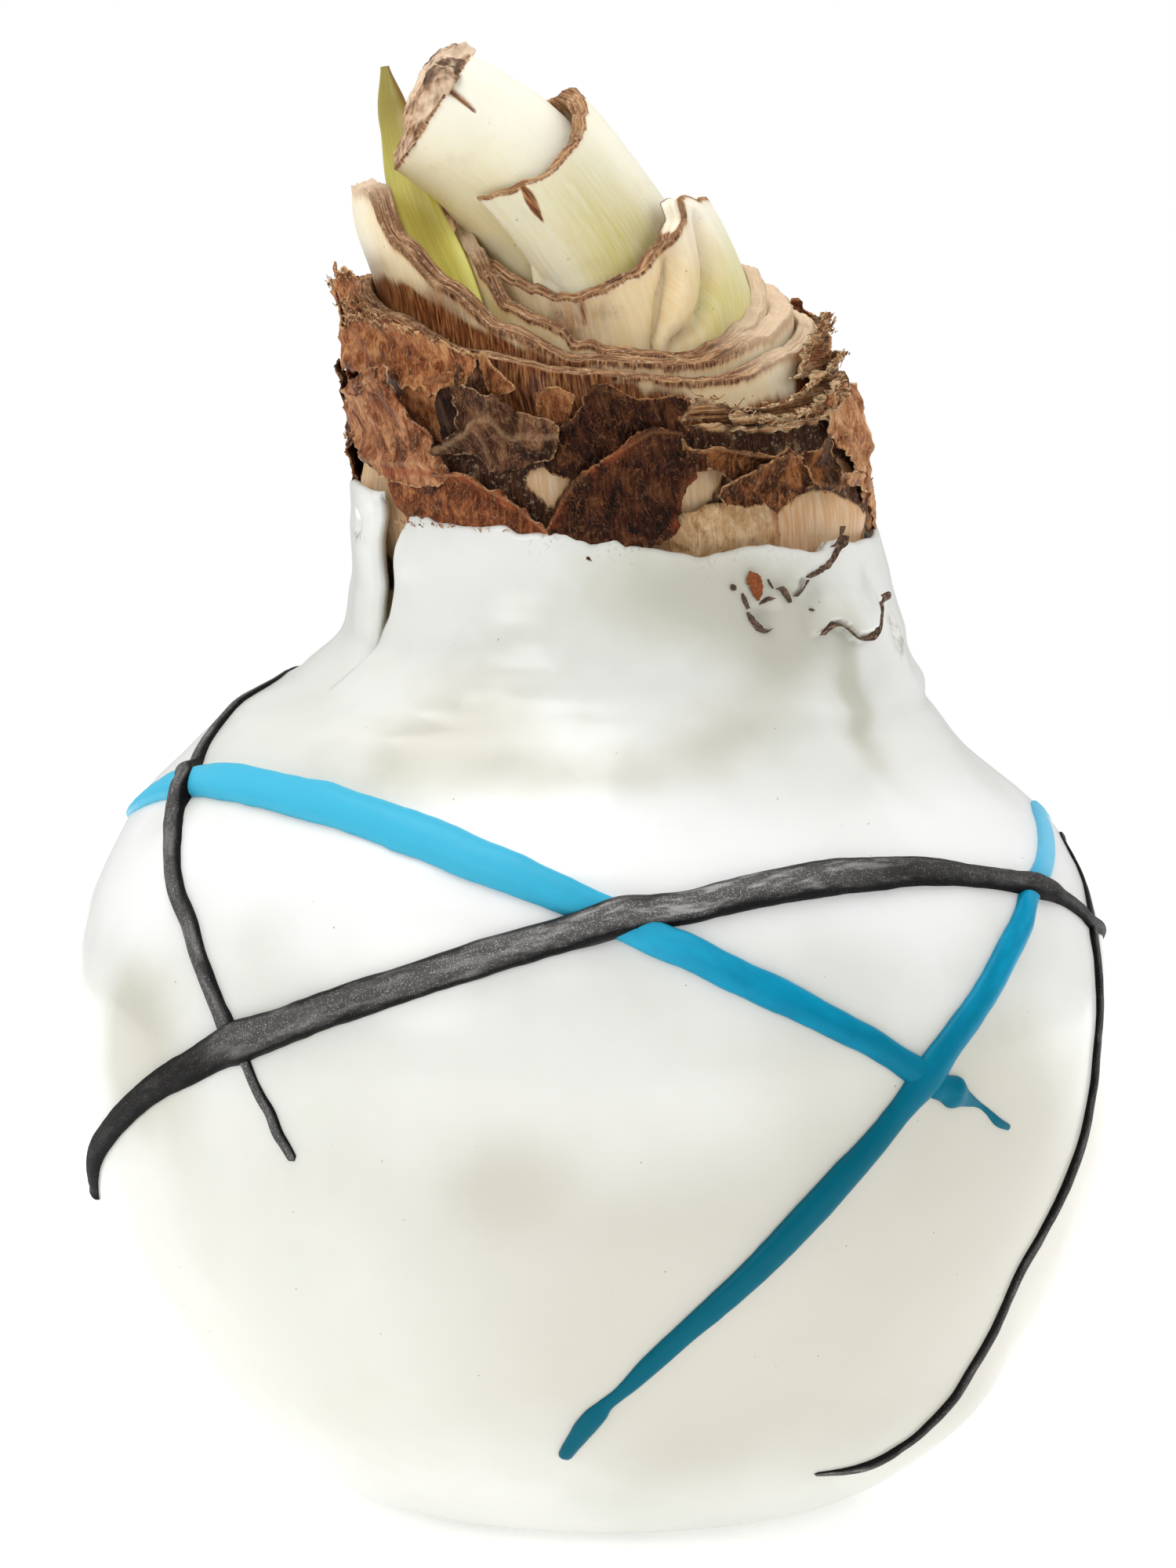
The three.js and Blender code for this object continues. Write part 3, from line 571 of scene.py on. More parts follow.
blueStrands = {
    "tall": 0.36,
    "strands": [
        [(128, 47, 0.6), (138, 51.4, 1.6), (150, 54.8, 2), (160, 56.8, 1.4), (170, 58.2, 1), (180, 60, 1.3),
         (186.1, 61.3, 2), (191, 62.4, 2.7), (195.5, 63.3, 3.3), (203.2, 64.1, 3.5), (209.6, 64.6, 3.75),
         (217.2, 64.8, 3.7), (224.2, 64.8, 3.8), (230.7, 64.6, 4), (236.6, 64.2, 3.8), (242.1, 63.7, 3.85),
         (247.1, 63.1, 4.05), (251.8, 62.4, 4.05), (256.2, 61.5, 4), (260.2, 60.7, 3.8), (263.9, 59.8, 3.5),
         (267.5, 58.9, 3.3), (270.9, 57.9, 3.2), (274.3, 56.8, 3.15), (277.5, 55.6, 3.1), (280.8, 54.6, 3.1),
         (284.1, 53.3, 2.95), (287.5, 52, 2.85), (290.8, 50.8, 2.85), (294.2, 49.4, 2.65), (297.6, 47.9, 2.55),
         (301.2, 46.3, 2.4), (304.4, 44.6, 2.3), (308, 42.8, 2.4)],
        [(307.9, 42.6, 2.2), (310.6, 41.7, 1.9), (313.2, 40.7, 1.4), (315.4, 39.9, 0.55), (317, 39.1, 0.55),
         (318.8, 38, 0.8), (321.1, 37.2, 0.45)],
        [(395, 47, 0.4), (384, 51, 0.5), (376, 54.8, 0.6), (370, 57.8, 0.6), (365, 59.4, 0.8), (360, 59.9, 1.3),
         (355.5, 59.6, 1.8), (350.7, 58.9, 2), (345.4, 58, 2), (339.6, 57, 2), (332.5, 55.7, 2.1), (327.7, 53.6, 2.4),
         (322.7, 51.6, 2.55), (318.5, 49.4, 2.5), (314.4, 47.3, 2.6), (310.4, 45.1, 2.7), (307.1, 42.7, 2.7),
         (304, 40.3, 2.35), (300.9, 37.9, 2.45), (297.5, 35.5, 2.7), (294.4, 33.1, 2.8), (291.2, 30.6, 2.75),
         (287.8, 28, 2.55), (284.1, 25.3, 2.35), (280.4, 22.6, 2.1), (276.7, 19.8, 1.85), (274, 17.6, 1.45),
         (272.9, 16.8, 1.25), (271.4, 15.8, 1.4), (270.3, 14.8, 1.9), (269, 13.7, 1.9), (267.6, 12.5, 1.6),
         (266.1, 11.3, 1.35), (264.9, 10.3, 1.2)],
    ],
    "knots": [(308, 43, 1.9, 0.22), (311.5, 41.2, 1.0, 0.6)],
    "over": [],
}


def layStrand(shape, strand, route, seed):
    turns = smoothLine(route, 40 * len(route))
    line = [onWax(point.x, point.y) for point in turns]
    lengths = [0]
    for first, second in zip(line, line[1:]):
        lengths.append(lengths[-1] + (second - first).length)
    whole = lengths[-1]
    steps = max(12, round(whole / strandMesh["step"]))
    crossings = [(onWax(angle, height), lift) for angle, height, lift in strand["over"]]
    knots = [(onWax(angle, height), reach, gain) for angle, height, reach, gain in strand["knots"]]
    sections = []
    for step in range(steps + 1):
        run = whole * step / steps
        at = min(len(line) - 2, max(0, bisect.bisect_left(lengths, run) - 1))
        part = (run - lengths[at]) / max(1e-6, lengths[at + 1] - lengths[at])
        turn = turns[at].lerp(turns[at + 1], part)
        foot = onWax(turn.x, turn.y)
        out = outOfWax(turn.x, turn.y)
        ahead = (line[min(at + 2, len(line) - 1)] - line[max(at - 1, 0)]).normalized()
        width = turn.z * sum((high * speckle(run / long, seed) for high, long in strandMesh["waver"]), 1)
        for knot, reach, gain in knots:
            width *= 1 + gain * bell((knot - foot).length, reach)
        rise = max((lift * (1 - ease(*strandMesh["overReach"], (spot - foot).length)) for spot, lift in crossings),
                   default=0)
        tip = min(run, whole - run) / (0.5 * width)
        if tip < 1:
            width *= math.sqrt(max(0, 1 - (1 - tip) ** 2))
        sections.append((foot, out, ahead.cross(out).normalized(), width, rise, run))

    def place(across, up):
        foot, out, side, width, rise, run = sections[round(up * steps)]
        turn = math.tau * across
        sway = 0.5 + 0.02 * speckle(run / 1.6, seed, 5 if math.cos(turn) > 0 else 9)
        over = max(0, math.sin(turn)) ** strandMesh["roundness"] * width * strand["tall"]
        over += rise * (math.sin(turn) > -0.01)
        under = min(0, math.sin(turn)) * strandMesh["sunk"] * min(1, width)
        over += strandMesh["rough"] * speckle(run / 1.1, math.cos(turn) * 1.5, seed) * max(0, math.sin(turn))
        point = foot + out * (over + under) + side * (math.cos(turn) * width * sway)
        return point, Vector((run, math.cos(turn) * width / 2, seed)), Vector((0, math.sin(turn), run / whole))

    layGrid(shape, strandMesh["around"], steps, place)


def blackWaxFinish():
    board = Board("black wax")
    place, grain = board.place(), board.mark("grain")
    side, level = board.parts(place)[::2]
    out = board.parts(board.mark("marks"))[1]
    soft = board.clouds(board.stretch(grain, (0.25, 0.9, 1)), 1.0, 3)
    # painted light: the crest of each strand is painted lighter, with painted sheen, highlight and glints on its
    # flecks, most of all over the front where the light falls
    paintedLight = board.soft(side + level * 0.5, -0.0122, -0.0072) * board.soft(side, 0.032, 0.014)
    paintedLight = paintedLight * (board.soft(side, -0.024, -0.006) * 0.28 + 0.72) + board.soft(side, 0.024, 0.032) * 0.35
    paintedCrest = board.soft(out + (soft - 0.5) * 0.9, 0.42, 1.0) * (paintedLight * 0.88 + 0.12)
    pick, size = board.parts(board.cells(place, 11000, 1))[0], board.cells(place, 11000)
    fleckGlints = board.soft(pick + paintedCrest * 0.3, 0.9, 1.35) * board.soft(size, 0.75, 0.3)
    paintedSheen = board.soft(board.clouds(board.stretch(grain, (0.3, 1.6, 1)), 1.0, 2), 0.45, 0.7)
    paintedHighlight = board.soft(side, -0.01, 0.004) * board.soft(side, 0.03, 0.018)
    colour = board.over(board.mix(board.clouds(place, 260, 3), "0f0e0e", "1b1a1a"), (paintedCrest * 0.75, "686664"),
                        (paintedCrest * paintedSheen * 0.35, "a8a4a2"), (paintedCrest * paintedHighlight * paintedSheen * 0.55, "bcbab8"),
                        (fleckGlints * 0.65, "d4d2d0"))
    return board.done(Base_Color=colour, Roughness=board.clouds(place, 600, 3) * 0.16 + 0.58 - paintedLight * 0.3,
                      Normal=board.bump(board.clouds(place, 500, 2), 0.05, 0.4), Specular_IOR_Level=0.05)


def blueWaxFinish():
    board = Board("blue wax")
    place, grain = board.place(), board.mark("grain")
    side, level = board.parts(place)[::2]
    soft = board.clouds(board.stretch(grain, (0.3, 1, 1)), 0.8, 3)
    # painted light: paler blue towards the upper left, a painted highlight at the top right, and darker towards the
    # bottom
    thin = board.soft(side - level * 0.6, -0.012, -0.052)
    top = board.soft(side, 0.036, 0.0395) * board.soft(level, 0.0535, 0.0575)
    colour = board.over(board.mix(board.soft(soft, 0.3, 0.7), "0386ab", "0797bf"), (thin * 0.85, "4cbfe0"),
                        (top * 0.8, "86d2ef"), (board.soft(level, 0.056, 0.036) * 0.95, "005a6c"))
    lumps = board.bump(board.clouds(place, 700, 3), 0.06, 0.4)
    return board.done(Base_Color=colour, Roughness=board.clouds(place, 300, 2) * 0.12 + 0.28, Normal=lumps,
                      Subsurface_Weight=0.1, Subsurface_Radius=(0.3, 0.9, 1.0), Subsurface_Scale=0.0008,
                      Specular_IOR_Level=0.08)


def makeStrands(strands, name, finish, slot, node):
    shape = newShape()
    for seed, route in enumerate(strands["strands"]):
        layStrand(shape, strands, route, seed * 7.3 + 1.5)
    addPiece(shape, name, finish, slot, node)


makeStrands(blueStrands, "blueStrands", blueWaxFinish(), "blue_wax", "blue_wax_strands")
makeStrands(blackStrands, "blackStrands", blackWaxFinish(), "black_wax", "black_wax_strands")


# chips of dry scale in the wax

ribbon = {"around": 12, "steps": 60, "narrow": 0.85, "below": 0.35, "thick": 0.13}
# node, bark and ribbons: a line of [angle, height], widths along it, how far its two edges stand out
chips = {
    "rustyChip": ("chip_rusty", "orange", [
        ([(298.8, 83.3), (299.4, 82.2), (299.6, 80.8)], [0.08, 1.5, 1.2, 0.08], (0.25, 0.55))]),
    "leftChip": ("chip_curled", "bark", [
        ([(294.1, 82.3), (294.4, 81.8)], [0.2, 0.6, 0.3], (0.1, 0.35)),
        ([(296, 81.5), (296.3, 80.9), (297, 80.2)], [0.1, 0.4, 0.2], (0.05, 0.35)),
        ([(296.8, 79.9), (297.6, 79.2), (298.6, 78.6), (300.2, 78.2), (302, 78.4)], [0.15, 0.5, 0.6, 0.35, 0.1],
         (0.0, 0.35))]),
    "smallChip": ("chip_small", "bark", [
        ([(300.2, 80.5), (301.6, 80.85), (303.2, 80.9)], [0.1, 0.4, 0.45, 0.1], (0.35, 0.05)),
        ([(304.2, 81.7), (305.5, 81.6), (306.5, 81.1), (307.2, 80.4)], [0.15, 0.5, 0.5, 0.15], (0.1, 0.5)),
        ([(303.2, 82.5), (303.5, 81.7)], [0.05, 0.14, 0.05], (0.05, 0.15)),
        ([(308.6, 80.9), (310, 81.1), (311.6, 81.6), (313.2, 82.1)], [0.12, 0.5, 0.4, 0.1], (0.15, 0.6)),
        ([(312.4, 79.7), (313, 79.5)], [0.1, 0.25, 0.1], (0.05, 0.2))]),
    "lipChip": ("chip_lip", "bark", [
        ([(313, 82.3), (315.5, 82.7), (317.7, 83), (320.2, 83.4), (323.7, 84.5), (325.4, 85.4)],
         [0.15, 0.5, 0.7, 0.6, 0.7, 0.2], (0.9, 0.1)),
        ([(321, 84.6), (323.6, 85.3), (325.6, 86.2)], [0.1, 0.6, 0.5, 0.1], (0.2, 0.8))]),
    "hookChip": ("chip_hook", "bark", [
        ([(313.4, 77.4), (316.3, 78.1), (318.7, 78.1), (322, 77.5), (324.8, 76.7), (328.4, 76.5), (331, 76.9),
          (332.8, 77.6), (333.9, 78.6), (334, 79.4), (333.2, 79.9)],
         [0.1, 0.6, 0.5, 0.45, 0.6, 0.9, 1.0, 0.9, 0.8, 0.5], (1.15, 0.5))]),
}


def layRibbon(shape, route, widths, lifts, seed):
    # a flat closed strip that stands on the wax
    count = ribbon["steps"]
    line = smoothLine(route, count)
    feet = [onWax(spot.x, spot.y, 0, False) for spot in line]

    def place(across, up):
        at = round(up * count)
        spot, turn = line[at], math.tau * across
        out = outOfWax(spot.x, spot.y)
        ahead = (feet[min(at + 1, count)] - feet[max(at - 1, 0)]).normalized()
        side = 0.5 - 0.5 * math.cos(turn)
        width = ribbon["narrow"] * readEven(widths, up) * (1 + 0.3 * speckle(up * 9, seed, side))
        rise = lifts[0] + (lifts[1] - lifts[0]) * side + 0.1 * speckle(up * 7, seed + 3, side * 2)
        rise += waxRelief(spot.x, spot.y - ribbon["below"]) + math.sin(turn) * ribbon["thick"]
        point = feet[at] + ahead.cross(out).normalized() * ((0.5 - side) * width) + out * rise
        return point, Vector((up * 6, side * 3, seed)), Vector((1 - side, speckle(up * 5, seed), 0))

    layGrid(shape, ribbon["around"], count, place)


def barkFinish(name, dark, middle, pale):
    board = Board(name)
    fibre = board.clouds(board.stretch(board.mark("grain"), (3, 0.8, 1)), 1.4, 5, 0.7)
    crumb = board.soft(board.clouds(board.place(), 1800, 3), 0.5, 0.7)
    colour = board.over(board.ramp(fibre, [(0.35, dark), (0.52, middle), (0.7, pale)]), (crumb * 0.5, pale))
    return board.done(Base_Color=colour, Roughness=0.7, Normal=board.bump(fibre, 0.15, 0.8), Specular_IOR_Level=0.3)


def makeChips():
    barks = {"bark": barkFinish("dry scale edge", "2d211c", "5b463a", "a98c6e"),
             "orange": barkFinish("rusty chip", "6d3417", "8f4c25", "b06a38")}
    for number, (name, (node, finish, ribbons)) in enumerate(chips.items()):
        shape = newShape()
        for part, (route, widths, lifts) in enumerate(ribbons):
            layRibbon(shape, route, widths, lifts, number * 2.7 + part)
        addPiece(shape, name, barks[finish], "dark_tunic", node)


makeChips()


# scales: walls that were cut across and dried at the cut

# how far below the rim each row lies, in mm, and where the rows of the cut lie across it
outerDepths = [14, 12.6, 11.4, 10.3, 9.3, 8.4, 7.5, 6.7, 5.9, 5.2, 4.5, 3.9, 3.3, 2.7, 2.2, 1.75, 1.35, 1, 0.7, 0.45,
               0.25, 0.1, 0]
wallDeep = 14.5  # how far down the worked rows reach
rimWaves = [(0.55, 1, 0), (1.7, 0.7, 3), (4.6, 0.4, 5)]  # the cut rim's unevenness: how fine, how strong, own seed
innerDepths = [0, 0.15, 0.35, 0.7, 1.2, 2, 3.2, 5, 8]
cutShares = [i / 14 for i in range(1, 14)]
wallRows = [("outer", wallDeep)] + [("outer", depth) for depth in outerDepths]
wallRows += [("cut", share) for share in cutShares] + [("inner", depth) for depth in innerDepths]
wallRows += [("inner", wallDeep), ("outer", wallDeep)]


def layWall(shape, spec, at):
    # at(angle, inset, along) gives a place; inset is counted inwards from the outer face
    start, end, seed = spec.get("from", 0), spec.get("to", 360), spec["seed"]
    size, foot = spec.get("size") or spec["outside"], spec.get("foot", neckFoot)

    def place(across, up):
        angle = start + (end - start) * across
        part, value = wallRows[round(up * (len(wallRows) - 1))]
        waves = sum(strong * ringNoise(angle, size * fine, seed + own) for fine, strong, own in rimWaves)
        rim = readStops(spec["rim"], angle) + spec["jag"] * waves
        thick = spec["thickness"](angle) if callable(spec["thickness"]) else spec["thickness"]
        bevel = spec["bevel"] * (1 + 0.5 * ringNoise(angle, size * 0.4, seed + 8))
        flare = spec["curl"] * (0.5 + ringNoise(angle, size * 0.9, seed + 11))
        turn = math.radians(angle)
        if part == "cut":
            across = value * thick
            inset = across - flare * (1 - ease(0, 0.35, value))
            rib = ringNoise(angle, size * 0.16, across * 2.6 + seed)
            rib += 0.55 * ringNoise(angle, size * 0.5, across * 6 + seed)
            rib -= 1.1 * max(0, ringNoise(angle, size * 0.1, across * 4.4 + seed + 20) - 0.12)
            along = rim - bevel * (1 - value) + spec["ribs"] * rib * min(1, 8 * value, 8 * (1 - value))
            grain = ringSpot(turn, size * 0.22, across * 3.4 + 40 + seed)
            layers = 0.5 + ringNoise(angle, size * 0.3, across * 5.2 + seed + 50)
            fresh = spec["fresh"](angle) if "fresh" in spec else 0
            dry = (1 - 0.25 * ease(0.6, 0.95, layers)) * (1 - fresh)
        else:
            full = rim - (bevel if part == "outer" else 0)
            depth = value * min(1, (full - foot) / wallDeep)
            if value == wallDeep:
                depth = full - foot
            along = full - depth
            inset = thick if part == "inner" else -flare * math.exp(-depth / 0.7)
            if part == "outer" and "relief" in spec:
                inset -= spec["relief"](angle, along)
            dry = math.exp(-depth / (spec["stain"] if part == "outer" else 2.4))
            grain = ringSpot(turn, size * 2.6, along * 0.28 + seed)
        tone = spec["tone"](angle, along) if "tone" in spec else 0
        mark = spec["mark"](angle, along) if "mark" in spec and part == "outer" else 0
        return at(angle, inset, along), grain, Vector((dry, tone, mark))

    layGrid(shape, spec["columns"], len(wallRows) - 1, place)


def scaleFinish(name, flesh, flush, rind=("33190f", "8c6140", "d2a77b"), halo=0.0, sideLight=0.0, topLight=0.0):
    # flesh is the bare colour, flush what it turns to with the tone mark, rind the dried cut from dark to pale,
    # halo how pale the flesh is below the cut; the last two paint light: how much paler the cut gets with the tone
    # mark, and how much whiter the top at the right gets
    board = Board(name)
    place, grain = board.place(), board.mark("grain")
    dry, tone, mark = board.parts(board.mark("marks"))
    streak, blotch = board.clouds(grain, 1.0, 5, 0.6), board.clouds(place, 330, 4, 0.6)
    bare = board.mix(board.soft(tone + (board.clouds(place, 120, 2) - 0.5) * 0.5, 0.15, 0.9), flesh, flush)
    bare = board.over(bare, (board.soft(streak, 0.35, 0.75) * 0.35, "fbf6e3"),
                      (board.soft(blotch, 0.52, 0.78) * 0.4, "d8c08e"),
                      (board.specks(place, 900, 0.04, 0.12, 0.72) * 0.6, "8c6a48"))
    if topLight:
        # painted light: the top at the right is painted whiter, where the light falls
        side, level = board.parts(place)[::2]
        bare = board.mix(board.soft(side * 0.3 + level, 0.1075, 0.119) * topLight, bare, "fffef6")
    fibre = board.clouds(grain, 2.1, 5, 0.6)
    crumb = board.soft(board.clouds(place, 2300, 3, 0.7), 0.54, 0.68)
    pit = board.soft(board.clouds(place, 900, 3, 0.7), 0.42, 0.32)
    bark = board.over(board.ramp(fibre, list(zip((0.3, 0.47, 0.66), rind))), (crumb * 0.4, "ecd3b2"),
                      (pit * 0.35, rind[0]), (board.soft(blotch, 0.55, 0.75) * 0.5, "dcb98f"))
    # painted light: the cut is painted paler with the tone mark
    if sideLight:
        bark = board.mix(tone * sideLight, bark, "f6dcbc")
    edge = board.soft(dry + (streak - 0.5) * 0.55 + (blotch - 0.5) * 0.35, 0.36, 0.62)
    warm = board.soft(dry + (streak - 0.5) * 0.5, 0.12, 0.5) * 0.6
    stain = board.ramp(fibre, [(0.36, "42200f"), (0.5, "8a512b"), (0.66, "c2905c")])
    # the mark paints real stains and wounds, and painted shade along the folded leaf's valleys
    stainAndShade = board.soft(mark + (blotch - 0.5) * 0.5 * board.soft(mark, 0.02, 0.2), 0.1, 0.85)
    colour = board.over(bare, (board.soft(dry, 0.2, 0.55) * halo, "fffbee"), (warm * (1 - 0.7 * halo), "c99a63"),
                        (edge, bark), (stainAndShade, stain))
    lumps = board.bump(streak, 0.12, 0.5, board.bump(fibre, 0.3, edge * 0.5 + 0.08))
    return board.done(Base_Color=colour, Roughness=edge * 0.4 + 0.36, Normal=lumps, Specular_IOR_Level=0.3,
                      Subsurface_Weight=0.25, Subsurface_Radius=(1.0, 0.7, 0.35), Subsurface_Scale=0.0012)


# what shows through the torn tunics on the outermost scale: outlines in [angle, height]
windows = {
    "bare": [
        [(250.7, 91.6), (254.3, 92.1), (262.1, 92.1), (261.1, 91.1), (258.2, 89.7), (256, 88.4), (253.8, 89.4),
         (250.9, 90.5)],
        [(288.5, 91.3), (292.4, 91.7), (296.3, 91.8), (298.3, 91.3), (296, 90.4), (293.5, 89), (288.4, 87.8),
         (286.2, 88), (286.2, 89.1), (286.9, 90.2)],
        [(311.5, 87.4), (315, 88.3), (321, 89), (327.2, 89.1), (333.4, 88.6), (341.1, 87.6), (348, 86), (349, 84),
         (342.9, 83), (333.1, 82.5), (326.2, 82.3), (318.8, 82.6), (312.5, 83.4), (310.6, 85)],
        [(293.8, 96.7), (296.5, 97), (301.2, 96.3), (299.8, 94.8), (295.9, 95.1), (293.2, 95.6)],
        [(337.6, 91.5), (344.7, 90.7), (347.9, 88.6), (337.5, 89.5)],
        [(186, 91.5), (201, 91.3), (208, 89.6), (217, 88.6), (220, 86), (218, 82), (206, 82), (186, 86)],
        [(70, 91), (82, 92.5), (88, 89), (76, 87.5)], [(128, 93.5), (142, 94.5), (146, 91.8), (133, 91)],
    ],
    "rusty": [
        [(258.3, 97.2), (260.2, 98.3), (263.1, 98.6), (265.7, 98.3), (265.7, 97.5), (263.2, 96.4), (260.1, 96.3)],
        [(248.4, 100.3), (251.3, 99.9), (255, 98.7), (250.8, 98.3), (247.4, 98.1), (247.3, 99)],
        [(215.4, 97.9), (219.7, 98.5), (227.3, 98.6), (231.8, 98), (240, 99.1), (240.5, 97.8), (234.7, 97.4),
         (229.2, 96.2), (225.2, 94.4), (223.9, 93), (221.6, 94.3), (217.9, 95.7), (214.5, 97.2)],
    ],
}


def insideBy(outline, angle, height, radius=21.0):
    # how far a point lies inside an outline, below zero when outside
    scaleX = math.radians(1) * radius
    near, inside = 99.0, False
    for (a, b), (c, d) in zip(outline, outline[1:] + outline[:1]):
        if (b > height) != (d > height) and angle < (c - a) * (height - b) / (d - b) + a:
            inside = not inside
        ax, cx, px = a * scaleX, c * scaleX, angle * scaleX
        along = ((px - ax) * (cx - ax) + (height - b) * (d - b)) / max(1e-9, (cx - ax) ** 2 + (d - b) ** 2)
        along = min(1, max(0, along))
        near = min(near, math.hypot(px - ax - along * (cx - ax), height - b - along * (d - b)))
    return near if inside else -near


def windowMark(kind, angle, height):
    angle = angle % 360
    best = max(insideBy(outline, angle + 0.35 * speckle(angle * 1.1, height * 3), height + 0.12 * speckle(angle, 7))
               for outline in windows[kind])
    return min(1, max(0, 0.5 + best / 1.2))


neckFoot = 80.35  # where the neck's walls start
neckScales = {
    "outerScale": {
        "node": "outer_neck_scale", "outside": 20.8, "thickness": 0.9, "columns": 320,
        "rim": [(0, 95.5), (90, 95), (180, 96.5), (230, 96), (270, 94.9), (300, 95.6), (360, 95.5)],
        "jag": 0.35, "bevel": 0.25, "ribs": 0.25, "curl": 0.25, "stain": 400, "seed": 3,
        # swellings over the buried scale's edge: angle, height, how wide, how tall, how far out
        "swells": [(196, 87.6, 13, 3.4, 1.35), (350, 87, 13, 4, 1.3)],
    },
    "middleScale": {
        "node": "middle_neck_scale", "outside": 19.5, "thickness": 1.4, "columns": 340,
        "rim": [(0, 102.4), (60, 103.6), (120, 105), (170, 106), (210, 104), (240, 101.5), (267, 100.3), (303, 99.2),
                (334, 101), (360, 102.4)],
        "jag": 0.14, "bevel": 0.36, "ribs": 0.3, "curl": 0.22, "stain": 0.55, "seed": 11,
    },
    "lobedScale": {
        "node": "lobed_neck_scale", "outside": 17.7, "columns": 340,
        "thickness": lambda angle: 1.9 + 0.65 * max(0, math.cos(math.radians(angle - 8))) ** 3,
        "rim": [(0, 104), (30, 105.2), (60, 105.4), (116, 105.4), (127, 110.4), (137, 112.8), (150, 112.8),
                (168, 113.2), (185, 114.6), (203, 114.6), (215, 110.4), (230, 107), (245, 103.7), (267, 101.3),
                (300, 100.6), (330, 102.4), (345, 103.4), (360, 104)],
        "jag": 0.12, "bevel": 0.42, "ribs": 0.32, "curl": 0.18, "stain": 0.7, "seed": 23,
    },
    "innerScale": {
        "node": "inner_neck_scale", "outside": 13.1, "thickness": 1.3, "size": 12.6, "columns": 280,
        "rim": [(0, 105.2), (20, 106.9), (45, 107.4), (75, 106.6), (120, 109), (150, 111), (180, 110.6), (190, 110.2),
                (204, 109.2), (214, 107.2), (225, 105), (240, 104), (249, 103.2), (254, 101.9), (260, 102.2),
                (266, 101.6), (300, 100.9), (316, 101.8), (330, 103), (345, 104), (360, 105.2)],
        "jag": 0.12, "bevel": 0.36, "ribs": 0.26, "curl": 0.15, "stain": 0.45, "seed": 37,
        "axis": (3.0, -1.4), "lean": 0.063,  # stands to one side and leans to the left
    },
}
# how high the torn tunics stained the scales behind them
stainTops = [(0, 101), (30, 101), (150, 102), (186, 106), (200, 107.2), (212, 106.8), (225, 104.9), (240, 103.2),
             (252, 102.2), (264, 101.2), (272, 100.6), (277, 99.7), (284, 98.9), (292, 98.6), (300, 96.6),
             (330, 97.4), (336, 99.4), (352, 101)]


def stainNeck(angle, height):
    top = readStops(stainTops, angle % 360)
    height += 0.5 * ringNoise(angle, 9, height * 0.6) + 0.25 * ringNoise(angle, 34)
    return 0.95 * (1 - ease(top - 1.1, top + 0.6, height)) + 0.6 * bump(angle % 360, height, 226, 104.5, 16, 2.5)


def reliefOuter(angle, height):
    angle %= 360
    swell = sum(out * bump(angle, height, *spread) for *spread, out in neckScales["outerScale"]["swells"])
    return swell + 0.16 * ringNoise(angle, 9, height * 0.35) + 0.07 * ringNoise(angle, 30, height * 1.4)


def reliefPale(angle, height):
    return 0.12 * ringNoise(angle, 5, height * 0.16) + 0.03 * ringNoise(angle, 26, height * 0.3)


def barePatches(shape):
    # bare flesh shows inside the windows of the outermost scale
    marks = shape.verts.layers.float_vector["marks"]
    for vert in shape.verts:
        spot = vert.co / mm
        angle = math.degrees(math.atan2(spot.y, spot.x - wallShift(spot.z))) % 360
        bare = windowMark("bare", angle, spot.z)
        tone = max(vert[marks].y, 0.4 * ease(296, 312, angle) * (1 - ease(350, 358, angle)))
        side = 1 if 287 < angle < 322 or angle < 190 else 0.6
        rim = 0.95 * side * bell(bare - 0.42, 0.16) * (0.55 + speckle(angle, spot.z))
        vert[marks] = (1 - bare if tone < 0.5 else 0.25, tone, rim)


def makeNeckScales():
    pale = scaleFinish("cream scale", "f0dcae", "fdf0d2", ("33190f", "7c5335", "c79c71"), sideLight=0.7)
    rind = scaleFinish("outer scale skin", "d0a87a", "c07a3a", ("190a05", "40200f", "6c4426"))
    for name, spec in neckScales.items():
        shape, outer = newShape(), name == "outerScale"
        spec["relief"] = reliefOuter if outer else reliefPale
        if "axis" in spec:
            def at(angle, inset, along, spec=spec):
                turn, radius, (x, y) = math.radians(angle), spec["outside"] - inset, spec["axis"]
                x -= spec["lean"] * (along - neckFoot)
                return Vector((x + radius * math.cos(turn), y + radius * math.sin(turn), along))
        else:
            def at(angle, inset, along, outside=spec["outside"], flared=name == "lobedScale"):
                spread = 1.2 * ease(104, 113, along) if flared else 0
                return neckPoint(angle, outside - inset + spread, along)
        if outer:
            spec["tone"] = lambda angle, along: windowMark("rusty", angle, along)
        else:  # paler at the sides
            # painted light: the neck scales are painted paler at the sides, where light falls on them, and so are
            # their cuts
            spec["tone"] = lambda angle, along, both=name != "middleScale": max(
                ease(0.6, 0.95, math.cos(math.radians(angle))),
                ease(0.86, 0.98, -math.cos(math.radians(angle))) * both)
        if name in ("middleScale", "lobedScale"):  # stained where the torn tunics held on
            spec["mark"] = stainNeck
        layWall(shape, spec, at)
        if outer:
            barePatches(shape)
        addPiece(shape, name, rind if outer else pale, "scale_flesh", spec["node"])


makeNeckScales()


# leaf bases: sheaths on one axis that leans to the left

leafAxis = [(2.6, -1.4, 81.05), (2.2, -1.4, 90), (1.5, -1.4, 98), (0, -1.3, 105), (-3.6, -1.2, 111),
            (-8.4, -1.1, 116.5), (-14.1, -1, 120.4)]
axisLine = smoothLine(leafAxis, 400)
axisRuns = [0]
for first, second in zip(axisLine, axisLine[1:]):
    axisRuns.append(axisRuns[-1] + (second - first).length)
axisWhole = axisRuns[-1]


def onAxis(run):
    at = min(len(axisLine) - 2, max(0, bisect.bisect_left(axisRuns, run) - 1))
    return axisLine[at].lerp(axisLine[at + 1], (run - axisRuns[at]) / (axisRuns[at + 1] - axisRuns[at]))


